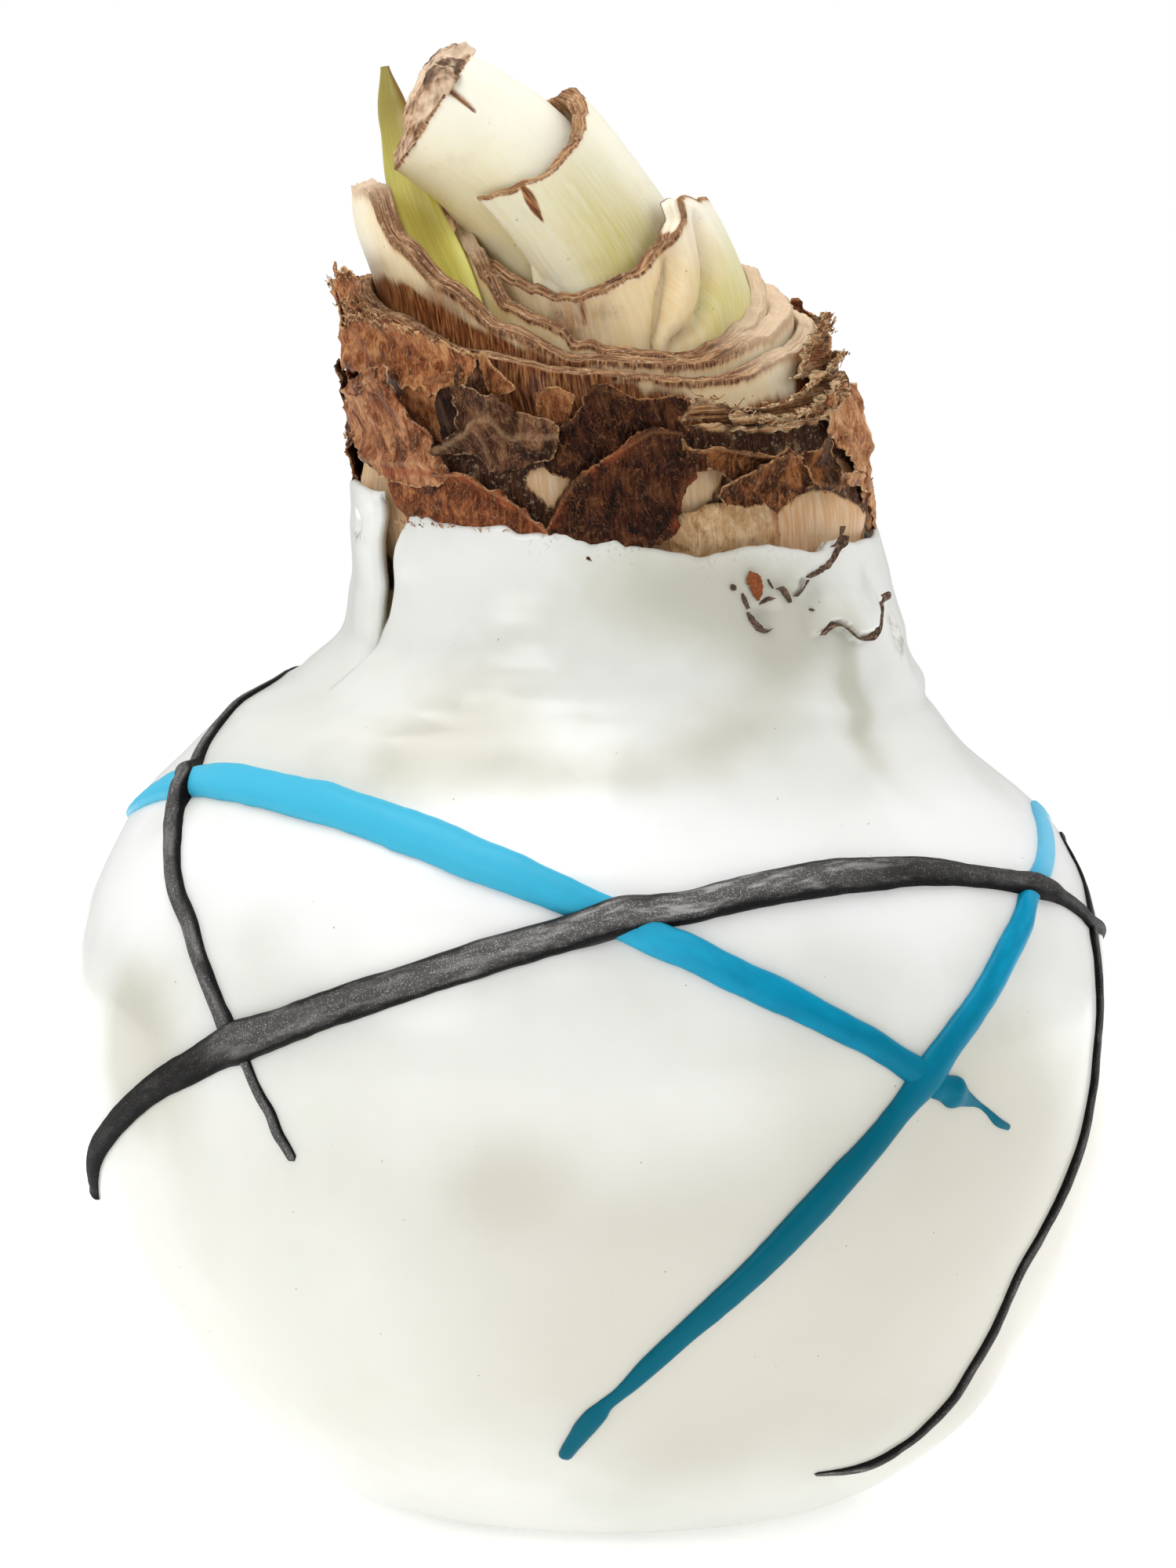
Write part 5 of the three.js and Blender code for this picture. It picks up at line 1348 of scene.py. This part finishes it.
# outlines are [angle, height]; folds are lines, how far they rise (below 0 for a valley) and how wide they are
tunics = {
    "leftFringe": {"node": "tunic_left_fringe", "finish": "fuzzy", "sheets": [
        {"radius": 21.3, "crumple": 0.35, "jag": 0.4, "rim": 0.3,
         "outline": [(199, 104.6), (203, 105.4), (208, 104.7), (213, 104.4), (219, 103.9), (225, 103.4), (231, 103),
            (236, 102.4), (241, 101.7), (247, 101.6), (244.4, 100.9), (242.5, 100.1), (240.9, 99), (234.8, 98),
            (229.3, 97.7), (228.5, 98.3), (221.5, 98), (220.5, 98.7), (215.5, 99.2), (206.2, 98.8), (205.4, 98.4),
            (196, 98.8), (188, 98.6), (184, 100.4), (189, 102), (196, 102.4)],
         "folds": [([(199, 104.6), (208, 104.7), (219, 103.9), (231, 103), (247, 101.6)], 0.5, 0.7),
            ([(208, 102.6), (220, 101.6), (232, 100.6)], -0.35, 0.6)]},
        {"radius": 20.6, "crumple": 0.3, "jag": 0.55,
         "outline": [(184, 107.2), (190, 106.6), (196, 107.4), (202.7, 107.6), (206, 106.4), (203, 104.4),
            (199, 101.4), (190, 99.6), (183, 100.6), (181, 104)],
         "folds": [([(190, 106), (194, 103), (198, 100)], 0.5, 0.5)]},
    ]},
    "leftFlap": {"node": "tunic_left_flap", "finish": "streaked", "sheets": [
        {"radius": 22.5, "crumple": 0.3, "jag": 0.3,
         "outline": [(203, 97.2), (207.7, 98.4), (215, 99.6), (219.5, 100.2), (222, 100), (220.4, 99), (221.8, 97.6),
            (224.4, 96.2), (225, 95.4), (227.3, 94.7), (229.1, 94.3), (229, 93.3), (231.7, 92.2), (233.1, 91.3),
            (232.5, 90.6), (230.3, 90.1), (224.2, 89.9), (219.4, 89.9), (216.1, 89.9), (211.1, 90.5), (205.4, 91.5),
            (202.3, 91.7), (199.1, 92.8), (194, 93), (192, 94.6), (198, 96.4)],
         "folds": [([(199, 92.4), (208, 91.5), (217, 91.6), (225, 92), (231, 91.9)], 0.5, 0.55),
            ([(203, 97.2), (209, 97.6), (214, 98.6), (219, 99.4)], 0.55, 0.5),
            ([(217, 98.6), (219, 96.4), (222, 94.8)], 0.3, 0.5), ([(209, 96.6), (211, 94.6), (213, 92.6)], 0.3, 0.6),
            ([(226, 95), (229, 93.6), (232, 91.6)], -0.35, 0.5)],
         "reds": [([(214, 90.8), (224, 91.2), (231, 91)], 0.35)]},
        {"radius": 22.9, "crumple": 0.12,
         "outline": [(203.4, 97), (206, 98.2), (212, 99), (219, 99.9), (219.6, 99.2), (214, 98.1), (208, 97)],
         "folds": [([(204, 97.2), (212, 98.4), (219, 99.4)], 0.35, 0.4)]},
    ]},
    "leftBand": {"node": "tunic_left_band", "finish": "brown", "sheets": [
        {"radius": 22.0, "crumple": 0.14, "jag": 0.25,
         "outline": [(226, 90.9), (232.1, 91.4), (237.1, 91.5), (239.9, 90.9), (242.9, 90.3), (245.6, 90.2),
            (248.4, 89.4), (250.8, 88.8), (252.6, 87.9), (254.6, 87.7), (256, 86.9), (253.6, 85.9), (249.6, 85.6),
            (246.5, 85.5), (243, 85.4), (235.9, 85.3), (228.7, 85.2), (223, 85.4), (218.8, 86.2), (216.4, 87.2),
            (212.5, 88.2), (212, 89.8), (219, 90.6)],
         "folds": [([(229, 91), (237.1, 91.3), (242.9, 90.1), (248.4, 89.2), (252.6, 87.7), (255.5, 86.9)], 0.75,
             0.3), ([(231, 90.4), (237.1, 90.5), (242.9, 89.3), (248.4, 88.4), (252.6, 87)], -0.25, 0.3),
            ([(214, 88.2), (222, 87.2), (233, 86.7), (246, 86.7)], 0.25, 0.4)],
         "reds": [([(231, 91.2), (237.1, 91.2), (242.9, 90), (248.4, 89.1), (252.6, 87.6), (256, 86.9)], 0.55),
            ([(212, 89), (216, 87.3), (221, 86.4)], 0.35)]},
    ]},
    "crumpled": {"node": "tunic_crumpled", "finish": "grey", "sheets": [
        {"radius": 22.1, "crumple": 0.38, "jag": 0.25,
         "outline": [(229.4, 92.9), (230.6, 93.4), (233.4, 94), (236.5, 95), (238, 96.4), (237.6, 98.4),
            (240.4, 99.2), (243.4, 98.7), (245.3, 98.4), (248.5, 98.3), (251, 97.6), (253, 96.9), (255.6, 96.6),
            (258.8, 96.4), (261.4, 95.7), (260.6, 94.6), (259.4, 93.6), (257.2, 92.9), (253.6, 92.5), (249.4, 91.8),
            (246.3, 91.6), (243.4, 91.9), (241, 92.9), (238, 93.1), (233.5, 92.8)],
         "folds": [([(228.8, 92.9), (235.3, 94), (239.4, 94.8), (243.2, 96), (246.6, 96.3), (248.6, 95),
             (250.6, 94.6), (253, 94.9), (256.8, 94.8), (260.7, 95)], 0.85, 0.45),
            ([(242.4, 95.4), (243.6, 94), (244.4, 92.6)], 0.55, 0.4), ([(247, 98), (246, 96.4)], 0.3, 0.5),
            ([(241, 98.4), (240, 96.4), (238.6, 95.4)], -0.5, 0.45)]},
        {"radius": 21.4,
         "outline": [(238, 98.6), (238.6, 100.4), (240.6, 101.6), (243.6, 102), (245.8, 101), (245.6, 99.4),
            (243.6, 98.4), (240.4, 98)],
         "folds": [([(239.6, 100.8), (243, 100.6), (245.4, 100)], -0.9, 0.6),
            ([(239, 100.4), (240.6, 101.4), (243.6, 101.8)], 0.5, 0.3)]},
    ]},
    "darkFold": {"node": None, "finish": "black", "sheets": [
        {"radius": 21.5, "crumple": 0.12, "jag": 0.12,
         "outline": [(231.4, 93.4), (231, 95.2), (232, 97), (234.4, 98.4), (237, 98.6), (238.4, 97.4), (238.4, 95.4),
            (237, 93.8), (234, 93)],
         "folds": [([(234.8, 97.6), (234.8, 96), (235, 94.4)], 0.9, 0.9)]},
    ]},
    "orangeShards": {"node": None, "finish": "orange", "sheets": [
        {"radius": 21.5, "crumple": 0.1, "jag": 0.12,
         "outline": [(245, 101.9), (248, 101.2), (251.3, 99.9), (254, 98.9), (250.8, 98.3), (247.4, 98.2),
            (246, 99.2), (245.2, 100.4)],
         "folds": [([(245, 101.9), (249, 100.8), (254, 98.9)], 0.6, 0.35)]},
        {"radius": 21.25, "crumple": 0.16, "jag": 0.12,
         "outline": [(256.6, 97), (257.6, 98.4), (260.2, 99), (263.4, 99), (266.4, 98.3), (265.4, 97.4),
            (263.4, 96.2), (260.2, 95.7), (257.4, 96)],
         "folds": [([(257.5, 98.2), (261, 98.9), (266, 98.3)], 0.3, 0.25),
            ([(261.4, 97.6), (261.6, 97.4)], -0.5, 0.2)]},
        {"radius": 21.2, "crumple": 0.2,
         "outline": [(219, 97), (221, 98.8), (226, 99.4), (229, 98.8), (231, 99.4), (236, 99.9), (240.4, 100),
            (239.6, 98.4), (236, 98.6), (232, 97.4), (230.4, 95), (230, 93.4), (226.6, 93.8), (223, 94.6)],
         "folds": [([(222, 98.4), (226, 96.4), (229.6, 94.4)], -0.4, 0.7), ([(230, 98.8), (235, 99.4)], 0.4, 0.3)]},
    ]},
    "centre": {"node": "tunic_centre", "finish": "dark", "sheets": [
        {"radius": 22.5, "crumple": 0.16, "jag": 0.22,
         "outline": [(255.6, 86.8), (257, 87.6), (258.3, 88.9), (260.6, 90.2), (262.4, 91.1), (264.5, 92.1),
            (267.5, 92.7), (270.9, 93.5), (274.3, 94.4), (278, 95.4), (280.7, 95.8), (285, 95.5), (287.4, 95.5),
            (287, 94.1), (287.9, 93.2), (289.4, 92.4), (289.6, 91.4), (287, 90.6), (285.4, 89.4), (284.1, 88.2),
            (284.4, 87.4), (282.7, 86.6), (279.9, 85.9), (276.1, 85.6), (272.6, 85.3), (268.4, 84.5), (265.4, 84.3),
            (261, 84.8), (257.6, 85.2)],
         "folds": [([(255.9, 87), (258.9, 88.9), (263, 91.1), (267.5, 92.7), (274.3, 94.1), (280.7, 95.4),
             (287, 95.3)], 0.7, 0.4),
            ([(257.6, 87), (260.4, 88.8), (264.6, 90.8), (268.5, 91.9), (274.3, 93.2)], -0.3, 0.35),
            ([(271.2, 92.1), (270.9, 89), (270.3, 85.5)], -0.16, 0.12),
            ([(279, 91.4), (281, 90.6), (281.4, 89.4)], 0.3, 0.25), ([(276.6, 89.8), (279, 90.8)], 0.25, 0.2),
            ([(274.3, 90.5), (274.8, 90.2)], 0.35, 0.16), ([(263.4, 86), (266, 88), (267, 90)], 0.12, 0.4)],
         "reds": [([(255.6, 86.9), (257.3, 88.4), (260.6, 90.3), (264.5, 92), (270.9, 93.4), (276, 94.9)], 0.5),
            ([(254.8, 86.6), (256.4, 87.2)], 0.7), ([(289.4, 91.2), (286, 89.4), (284, 87.4)], 0.45)]},
    ]},
    "centreUpper": {"node": "tunic_centre_upper", "finish": "dark", "sheets": [
        {"radius": 21.9, "crumple": 0.2,
         "outline": [(261.4, 95.7), (264.7, 96.5), (267.4, 97.4), (268.9, 98.9), (271.5, 99.5), (275, 99.3),
            (277.9, 98.4), (280.7, 98.1), (284.5, 98), (288, 98.3), (291.6, 97.7), (291.1, 96.9), (288.3, 96.4),
            (289, 95.2), (286.9, 94.4), (280.6, 94), (274.7, 93), (269.1, 91.9), (263.9, 91), (261.3, 91.3),
            (257, 91.8), (255.3, 92.6), (257.8, 93.4), (259.9, 94.5)],
         "folds": [([(267, 97.4), (265.6, 96.4), (262, 95.7)], 0.35, 0.25),
            ([(271.6, 99), (273, 97.6), (272.4, 96)], 0.25, 0.35), ([(283, 97.8), (283.6, 96.2)], 0.4, 0.4),
            ([(268, 98.2), (271, 99.1), (277, 98.4)], 0.45, 0.35)]},
    ]},
    "tanBand": {"node": "tunic_tan_band", "finish": "tan", "sheets": [
        {"radius": 21.35, "crumple": 0.1, "jag": 0.16, "rim": 0.16,
         "outline": [(270, 85), (272.1, 86), (274.4, 86.5), (278.8, 86.9), (282, 87.4), (285.8, 88.2), (291, 88.7),
            (294.8, 89.1), (297.8, 89), (305.4, 89.1), (308, 88.8), (310, 88.1), (310.4, 85.9), (310, 83.2),
            (304.2, 82.8), (296.5, 82.6), (289.9, 82.4), (282.8, 82.9), (277.7, 83.4), (272, 83.6)],
         "folds": [([(274.4, 86.3), (282, 87.2), (291, 88.5), (297.8, 88.8), (308, 88.6)], 0.2, 0.3),
            ([(306.4, 88.6), (307.4, 86.4), (307, 84)], 0.15, 0.25)],
         "reds": [([(309.6, 88.4), (310.4, 86), (310.2, 83)], 0.4)]},
    ]},
    "rightRims": {"node": "tunic_right_rims", "finish": "fibrous", "sheets": [
        {"radius": 21.0, "crumple": 0.3, "jag": 0.3, "rim": 0.5,
         "outline": [(287.9, 96.1), (290, 97), (293.4, 97.8), (295.5, 98), (299.2, 97.3), (304.3, 96.8),
            (309.6, 96.7), (316.1, 97.1), (322.4, 97.5), (328, 98.2), (335, 99), (344, 99.6), (358, 99.8),
            (366, 99.2), (366, 96), (350, 96.2), (336, 96), (322, 95.4), (308, 95.3), (299, 95.6), (293, 95.9)],
         "folds": [([(288, 96), (295, 97.8), (304.3, 96.6), (316, 96.9), (328, 97.9), (344, 99.3), (358, 99.5)], 0.9,
             0.4), ([(290, 95.6), (300, 96), (316, 95.9), (330, 96.6), (350, 98)], -0.5, 0.35)]},
        {"radius": 21.6, "crumple": 0.3, "jag": 0.35, "rim": 0.5,
         "outline": [(299, 96.4), (304, 96.5), (307.7, 96.3), (315.7, 95.9), (323, 96.3), (330, 97), (336, 97.8),
            (342, 98.4), (352, 98.3), (353, 96.6), (340, 96.4), (326, 95.2), (312, 95), (301, 95.4)],
         "folds": [([(299, 96.2), (307.7, 96.1), (315.7, 95.7), (323, 96.1), (330, 96.8), (342, 98.2)], 0.75, 0.35)]},
        {"radius": 21.9, "jag": 0.3, "rim": 0.4,
         "outline": [(298, 95.6), (303.1, 95.4), (309.3, 95.2), (317.5, 95.6), (327.4, 95.6), (336, 96.2),
            (346, 96.9), (347, 96), (336, 95.3), (322, 94.8), (308, 94.6), (300, 95)],
         "folds": [([(298, 95.5), (309.3, 95), (317.5, 95.4), (327.4, 95.4), (345, 96.6)], 0.5, 0.3)]},
        {"radius": 20.2, "crumple": 0.5, "jag": 0.5, "rim": 0.5,
         "outline": [(326, 98.6), (331, 100), (336, 102), (342, 102.8), (350, 103.4), (360, 103), (370, 101.4),
            (374, 98.6), (360, 98), (344, 98)],
         "folds": [([(328, 99), (337, 101.4), (350, 102.6)], 0.6, 0.5), ([(335, 99.4), (347, 100.4)], -0.6, 0.6)],
         "reds": [([(340, 99.6), (352, 100)], 0.8)]},
    ]},
    "rightFlap": {"node": "tunic_right_flap", "finish": "umber", "sheets": [
        {"radius": 22.2, "crumple": 0.2,
         "outline": [(286.4, 95.6), (287.2, 94.6), (288.4, 93.9), (290.8, 93.7), (294.4, 94), (298, 93.7),
            (301.6, 93.3), (306.4, 93), (308.9, 92.8), (312.5, 93.6), (314, 93.1), (316, 92.2), (315, 90.6),
            (308, 90), (301, 90.2), (297.2, 91), (294, 92), (290.4, 91.8), (288, 91.8), (286.8, 93)],
         "folds": [([(286.6, 95.3), (287.4, 94), (290.8, 93.5), (294.4, 93.8), (301.6, 93.1), (308.9, 92.6),
             (312.5, 93.4)], 0.75, 0.35), ([(290, 92.9), (298, 92.6), (306, 92)], -0.3, 0.4)]},
        {"radius": 22.6, "crumple": 0.14, "jag": 0.18,
         "outline": [(294.5, 90.6), (299.2, 91.3), (304, 92), (307.1, 92.5), (310.4, 92.9), (312.8, 92.9),
            (316, 92.4), (318.2, 91), (319.6, 89.9), (316.6, 89.4), (313.4, 89.2), (310.4, 88.7), (308.2, 88.1),
            (305.3, 88.7), (299.5, 88.7), (295.4, 88.8), (294, 89.7)],
         "folds": [([(294.5, 90.5), (299.2, 91.2), (304, 91.9), (308, 92.5), (312.8, 92.7)], 0.5, 0.3),
            ([(306, 91.4), (306.6, 89.4)], -0.14, 0.15)]},
        {"radius": 22.7, "crumple": 0.22, "jag": 0.25,
         "outline": [(314.6, 92.7), (317.2, 92.6), (320.9, 92.8), (324, 93.8), (327.4, 94.3), (328.4, 92.6),
            (329.6, 90.6), (331, 89.2), (325.2, 89.1), (321.4, 89.1), (318.6, 90.4), (316.6, 91.6)],
         "folds": [([(320.9, 92.7), (324, 93.6), (327.4, 94.1)], 0.4, 0.3), ([(322, 92), (324, 90)], 0.35, 0.3),
            ([(316.6, 91.7), (319, 90.2), (325, 89.6), (330, 89.4)], 0.4, 0.4)]},
    ]},
    "rightEdge": {"node": "tunic_right_edge", "finish": "frayed", "sheets": [
        {"radius": 21.9, "crumple": 0.4, "jag": 0.4,
         "outline": [(330, 94.2), (332.6, 96.4), (336, 97.2), (340, 96.2), (347, 97), (356, 96.4), (364, 96.8),
            (371, 95), (370, 91), (371, 87.6), (366, 84.6), (356, 84.2), (350, 86.4), (345, 87.4), (346, 89.6),
            (341, 90.4), (336, 92.2), (333, 92.6)],
         "folds": [([(333, 95.6), (338, 92.6), (345, 90), (352, 87)], 0.5, 0.5), ([(350, 96), (354, 91)], -0.5, 0.7),
            ([(362, 96), (360, 90), (362, 86)], 0.5, 0.7)],
         "reds": [([(346, 87), (352, 85)], 0.5)]},
        {"radius": 22.3, "jag": 0.3,
         "outline": [(331.6, 90.4), (338, 90.3), (345, 89.8), (352, 89), (358, 87.6), (362, 85), (358, 83.6),
            (354, 86), (348, 88), (340, 89), (333, 89.4)],
         "folds": [([(332, 90.2), (345, 89.6), (357, 87)], 0.5, 0.35)]},
    ]},
    "backRight": {"node": "tunic_back_right", "finish": "brown", "sheets": [
        {"radius": 22.0, "crumple": 0.4, "jag": 0.5,
         "outline": [(8, 94), (14, 97), (22, 98.6), (32, 97.2), (41, 98.8), (50, 96.6), (58, 97.4), (64, 95),
            (61, 92.8), (66, 90), (62, 87), (66, 85), (40, 84.6), (12, 83.6), (10, 88)],
         "folds": [([(12, 95), (24, 92), (36, 93), (50, 90)], 0.6, 0.7), ([(30, 97), (34, 92), (30, 87)], -0.5, 0.7)],
         "reds": [([(61, 92.8), (66, 90), (62, 87)], 0.6)]},
        {"radius": 22.5, "crumple": 0.35, "jag": 0.45,
         "outline": [(52, 91.6), (60, 93.4), (70, 93), (78, 95.6), (88, 97.6), (97, 99), (103, 96), (101, 92),
            (104, 88), (100, 85.6), (80, 84.8), (58, 85.4), (54, 88)],
         "folds": [([(54, 91.4), (70, 92.4), (86, 96)], 0.6, 0.45), ([(80, 92), (92, 90), (100, 91)], 0.4, 0.6),
            ([(84, 88), (86, 85.6)], -0.2, 0.2)],
         "reds": [([(52, 91.2), (70, 92.6), (84, 96)], 0.5)]},
    ]},
    "backLeft": {"node": "tunic_back_left", "finish": "dark", "sheets": [
        {"radius": 21.9, "crumple": 0.4, "jag": 0.5,
         "outline": [(101, 93), (106, 97), (114, 98.4), (124, 99.4), (133, 97.6), (140, 98.2), (147, 96), (144, 92),
            (150, 89.6), (146, 86.4), (124, 85.8), (103, 85.6), (104, 89)],
         "folds": [([(102, 94), (116, 92), (128, 94), (144, 92)], 0.6, 0.6),
            ([(120, 98), (124, 93), (120, 88)], -0.5, 0.6)],
         "reds": [([(144, 92), (150, 89.6), (146, 86.4)], 0.6)]},
        {"radius": 22.0, "jag": 0.35,
         "outline": [(140, 91.4), (150, 93.6), (160, 96.4), (171, 98.6), (178, 97), (184, 96.4), (189, 94),
            (187, 91.6), (190, 90), (186, 88.6), (176, 88), (158, 87.4), (144, 87.4)],
         "folds": [([(141, 91.4), (160, 96), (171, 98)], 0.7, 0.4), ([(160, 92), (178, 93), (190, 91)], 0.5, 0.6),
            ([(168, 90), (170, 88)], -0.2, 0.2)],
         "reds": [([(141, 91.4), (160, 96)], 0.5)]},
    ]},
    "backFringe": {"node": "tunic_back_fringe", "finish": "fuzzy", "sheets": [
        {"radius": 20.9, "crumple": 0.45, "jag": 0.6, "rim": 0.4,
         "outline": [(8, 99), (14, 101), (24, 102), (36, 103.4), (47, 102), (58, 103), (70, 101.8), (82, 103.4),
            (94, 102.4), (104, 104), (118, 103.4), (130, 104.4), (146, 104), (160, 105.4), (174, 105), (186, 106),
            (188, 102), (184, 97), (160, 96.4), (130, 96), (100, 95.6), (70, 96), (40, 95.6), (12, 95.8)],
         "folds": [([(8, 100), (36, 102.6), (70, 101.4), (104, 103.2), (146, 103.4), (186, 105)], 0.7, 0.6),
            ([(12, 98), (60, 99), (110, 99), (180, 101)], -0.5, 0.8)]},
    ]},
}


# each finish: slot, name, dark, middle and pale tone, torn rim, how fuzzy, then the red and whether it is turned
skins = {
    "brown": ("brown_tunic", "brown tunic", "35160a", "7a3f22", "b07042", "d0a274", 0.2),
    "streaked": ("brown_tunic", "streaked tunic", "43200f", "8f5130", "c99468", "d8b088", 0.3),
    "fuzzy": ("tunic_fibre", "fuzzy tunic", "4a220f", "985630", "c88e5c", "dcae7e", 0.45),
    "umber": ("brown_tunic", "umber tunic", "1c0b05", "48240f", "8e5830", "c29266", 0.2),
    "frayed": ("tunic_fibre", "frayed tunic", "6a371c", "b07448", "dcaa7a", "ecc89c", 0.5),
    "dark": ("dark_tunic", "dark tunic", "120602", "33150a", "5a341c", "a0704a", 0.12),
    "black": ("dark_tunic", "darkest tunic", "100602", "26130a", "422818", "5e402c", 0.1),
    "grey": ("dark_tunic", "grey brown tunic", "1c0d07", "48291a", "7e573c", "b8946e", 0.22),
    "tan": ("tunic_fibre", "tan tunic", "96704b", "bd976d", "d6b790", "a9814f", 0.25, "8d3a22"),
    "orange": ("brown_tunic", "orange tunic", "52280f", "8e5430", "b07a4e", "caa070", 0.25),
    "fibrous": ("tunic_fibre", "fibrous tunic", "46220f", "b47a4c", "ebc194", "efcfa2", 0.45, "7c2a1c", True),
}


def makeTunics():
    finishes = {key: skinFinish(*tones[1:]) for key, tones in skins.items()}
    for number, (name, piece) in enumerate(tunics.items()):
        shape = newShape()
        for layer, sheet in enumerate(piece["sheets"]):
            laySheet(shape, sheet, number * 3.7 + layer * 1.3)
        thicken(shape, sheetThick)
        key = piece["finish"]
        addPiece(shape, name, finishes[key], skins[key][0], *([piece["node"]] if piece["node"] else []))


makeTunics()


# loose fibres on the torn edges

fringes = {
    # line of [angle, height], radius, how many, how long, how far they stand out, how wide the bunch is
    "lines": [
        ([(199, 104.4), (206, 104.9), (213, 104.3)], 21.8, 60, 1.1, 0.3, 0.8),
        ([(201, 103.4), (208, 103.8), (216, 103.4)], 22.0, 60, 1.2, 0.3, 0.6),
        ([(213, 104.3), (222, 103.5), (231, 102.9), (246, 101.6)], 21.75, 70, 1.0, 0.15, 0.3),
        ([(288, 96.2), (295, 98), (304, 96.8), (316, 97)], 21.95, 26, 1.2, 0.15, 0.2),
        ([(316, 97), (328, 98.1), (344, 99.5), (356, 99.7)], 22.0, 40, 1.1, 0.25, 0.3),
        ([(300, 96.4), (315, 95.9), (330, 97), (342, 98.3)], 22.4, 36, 1.1, 0.2, 0.25),
        ([(300, 95.6), (317, 95.6), (334, 96), (346, 96.8)], 22.4, 26, 1.0, 0.15, 0.25),
        ([(330, 99.6), (340, 102), (352, 103), (364, 102)], 20.8, 50, 1.1, 0.3, 0.4),
        ([(340, 92), (346, 90), (352, 88)], 22.4, 16, 0.7, 0.2, 0.3),
        ([(186, 105.6), (194, 106.6), (202, 107)], 20.9, 40, 1.0, 0.25, 0.4),
        ([(10, 101), (50, 102.4), (100, 103.4), (150, 104.4), (184, 105.8)], 21.4, 160, 1.2, 0.3, 0.4),
        ([(186, 92), (194, 93.4), (200, 92.4)], 22.6, 12, 0.8, 0.3, 0.3),
        ([(216, 86.6), (226, 86.8), (236, 86.9), (246, 86.8)], 22.8, 24, 0.6, 0.1, 0.2),
    ],
    # from and to, as shares of the bunch's own length and thickness, and how far a fibre sways
    "lengths": (0.4, 1.2), "thicknesses": (0.6, 1.6), "sways": (0.05, 0.22), "taper": 0.7,
    "thick": 0.075, "around": 4, "steps": 6, "seed": 41,
}


def layFibre(shape, luck, line, radius, length, stand, spread):
    angle, height = line[luck.randrange(len(line))]
    angle, height = angle + luck.uniform(-0.8, 0.8), height + luck.gauss(0, 0.4) * spread
    turn = math.radians(angle)
    out, up = ringSpot(turn, 1), Vector((0, 0, 1))
    side = up.cross(out)
    reach = length * luck.uniform(*fringes["lengths"])
    way = (side * luck.choice((-1, 1)) + up * luck.gauss(0, 0.35) + out * stand * luck.gauss(0.2, 0.6)).normalized()
    bend = (up * luck.gauss(0, 0.5) + out * luck.gauss(0.1, 0.5)) * stand * 1.6
    curl, phase = luck.uniform(*fringes["sways"]), luck.uniform(0, math.tau)
    start = neckPoint(angle, radius + luck.gauss(0, 0.22), height)
    thick, tone = fringes["thick"] * luck.uniform(*fringes["thicknesses"]), luck.random()

    def place(across, along):
        sway = curl * math.sin(phase + along * 7)
        middle = start + way * (reach * along) + bend * (reach * along * along * 0.5) + (up + out * 0.6) * sway
        turn, width = math.tau * across, thick * (1 - fringes["taper"] * along)
        point = middle + out * (width * math.cos(turn)) + up * (width * math.sin(turn))
        return point, Vector((tone * 9, along * 2, 0)), Vector((along, tone, 0))

    layGrid(shape, fringes["around"], fringes["steps"], place)


def makeFibres():
    shape, luck = newShape(), random.Random(fringes["seed"])
    for line, radius, count, length, stand, spread in fringes["lines"]:
        route = smoothLine(line, 200)
        for _ in range(count):
            layFibre(shape, luck, route, radius, length, stand, spread)
    board = Board("loose fibres")
    tone = board.parts(board.mark("marks"))[1]
    colour = board.ramp(tone, [(0.1, "7a4a2b"), (0.45, "b58458"), (0.9, "e2c196")])
    colour = board.mix(board.clouds(board.place(), 2600, 2) * 0.5, colour, "5c3620")
    finish = board.done(Base_Color=colour, Roughness=0.75, Specular_IOR_Level=0.2)
    addPiece(shape, "looseFibres", finish, "tunic_fibre")


makeFibres()


# the bulb inside the wax keeps its own shape

def dressBulb():
    board = Board("bulbFlesh")
    place = board.place()
    layers = board.clouds(board.stretch(place, (1, 1, 0.2)), 260, 5, 0.6)
    dust = board.soft(board.clouds(place, 600, 4), 0.55, 0.7)
    colour = board.ramp(layers, [(0.3, "b89a68"), (0.5, "e3d3a6"), (0.7, "f2e8c8")])
    colour = board.mix(dust * 0.6, colour, "7d5638")
    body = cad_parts["bulb_body"]
    finish = board.done(Base_Color=colour, Roughness=0.6, Normal=board.bump(layers, 0.3, 0.6))
    if body.material_slots:
        body.material_slots[0].material = finish
    else:
        body.data.materials.append(finish)
    print("bulb body has its finish")


dressBulb()
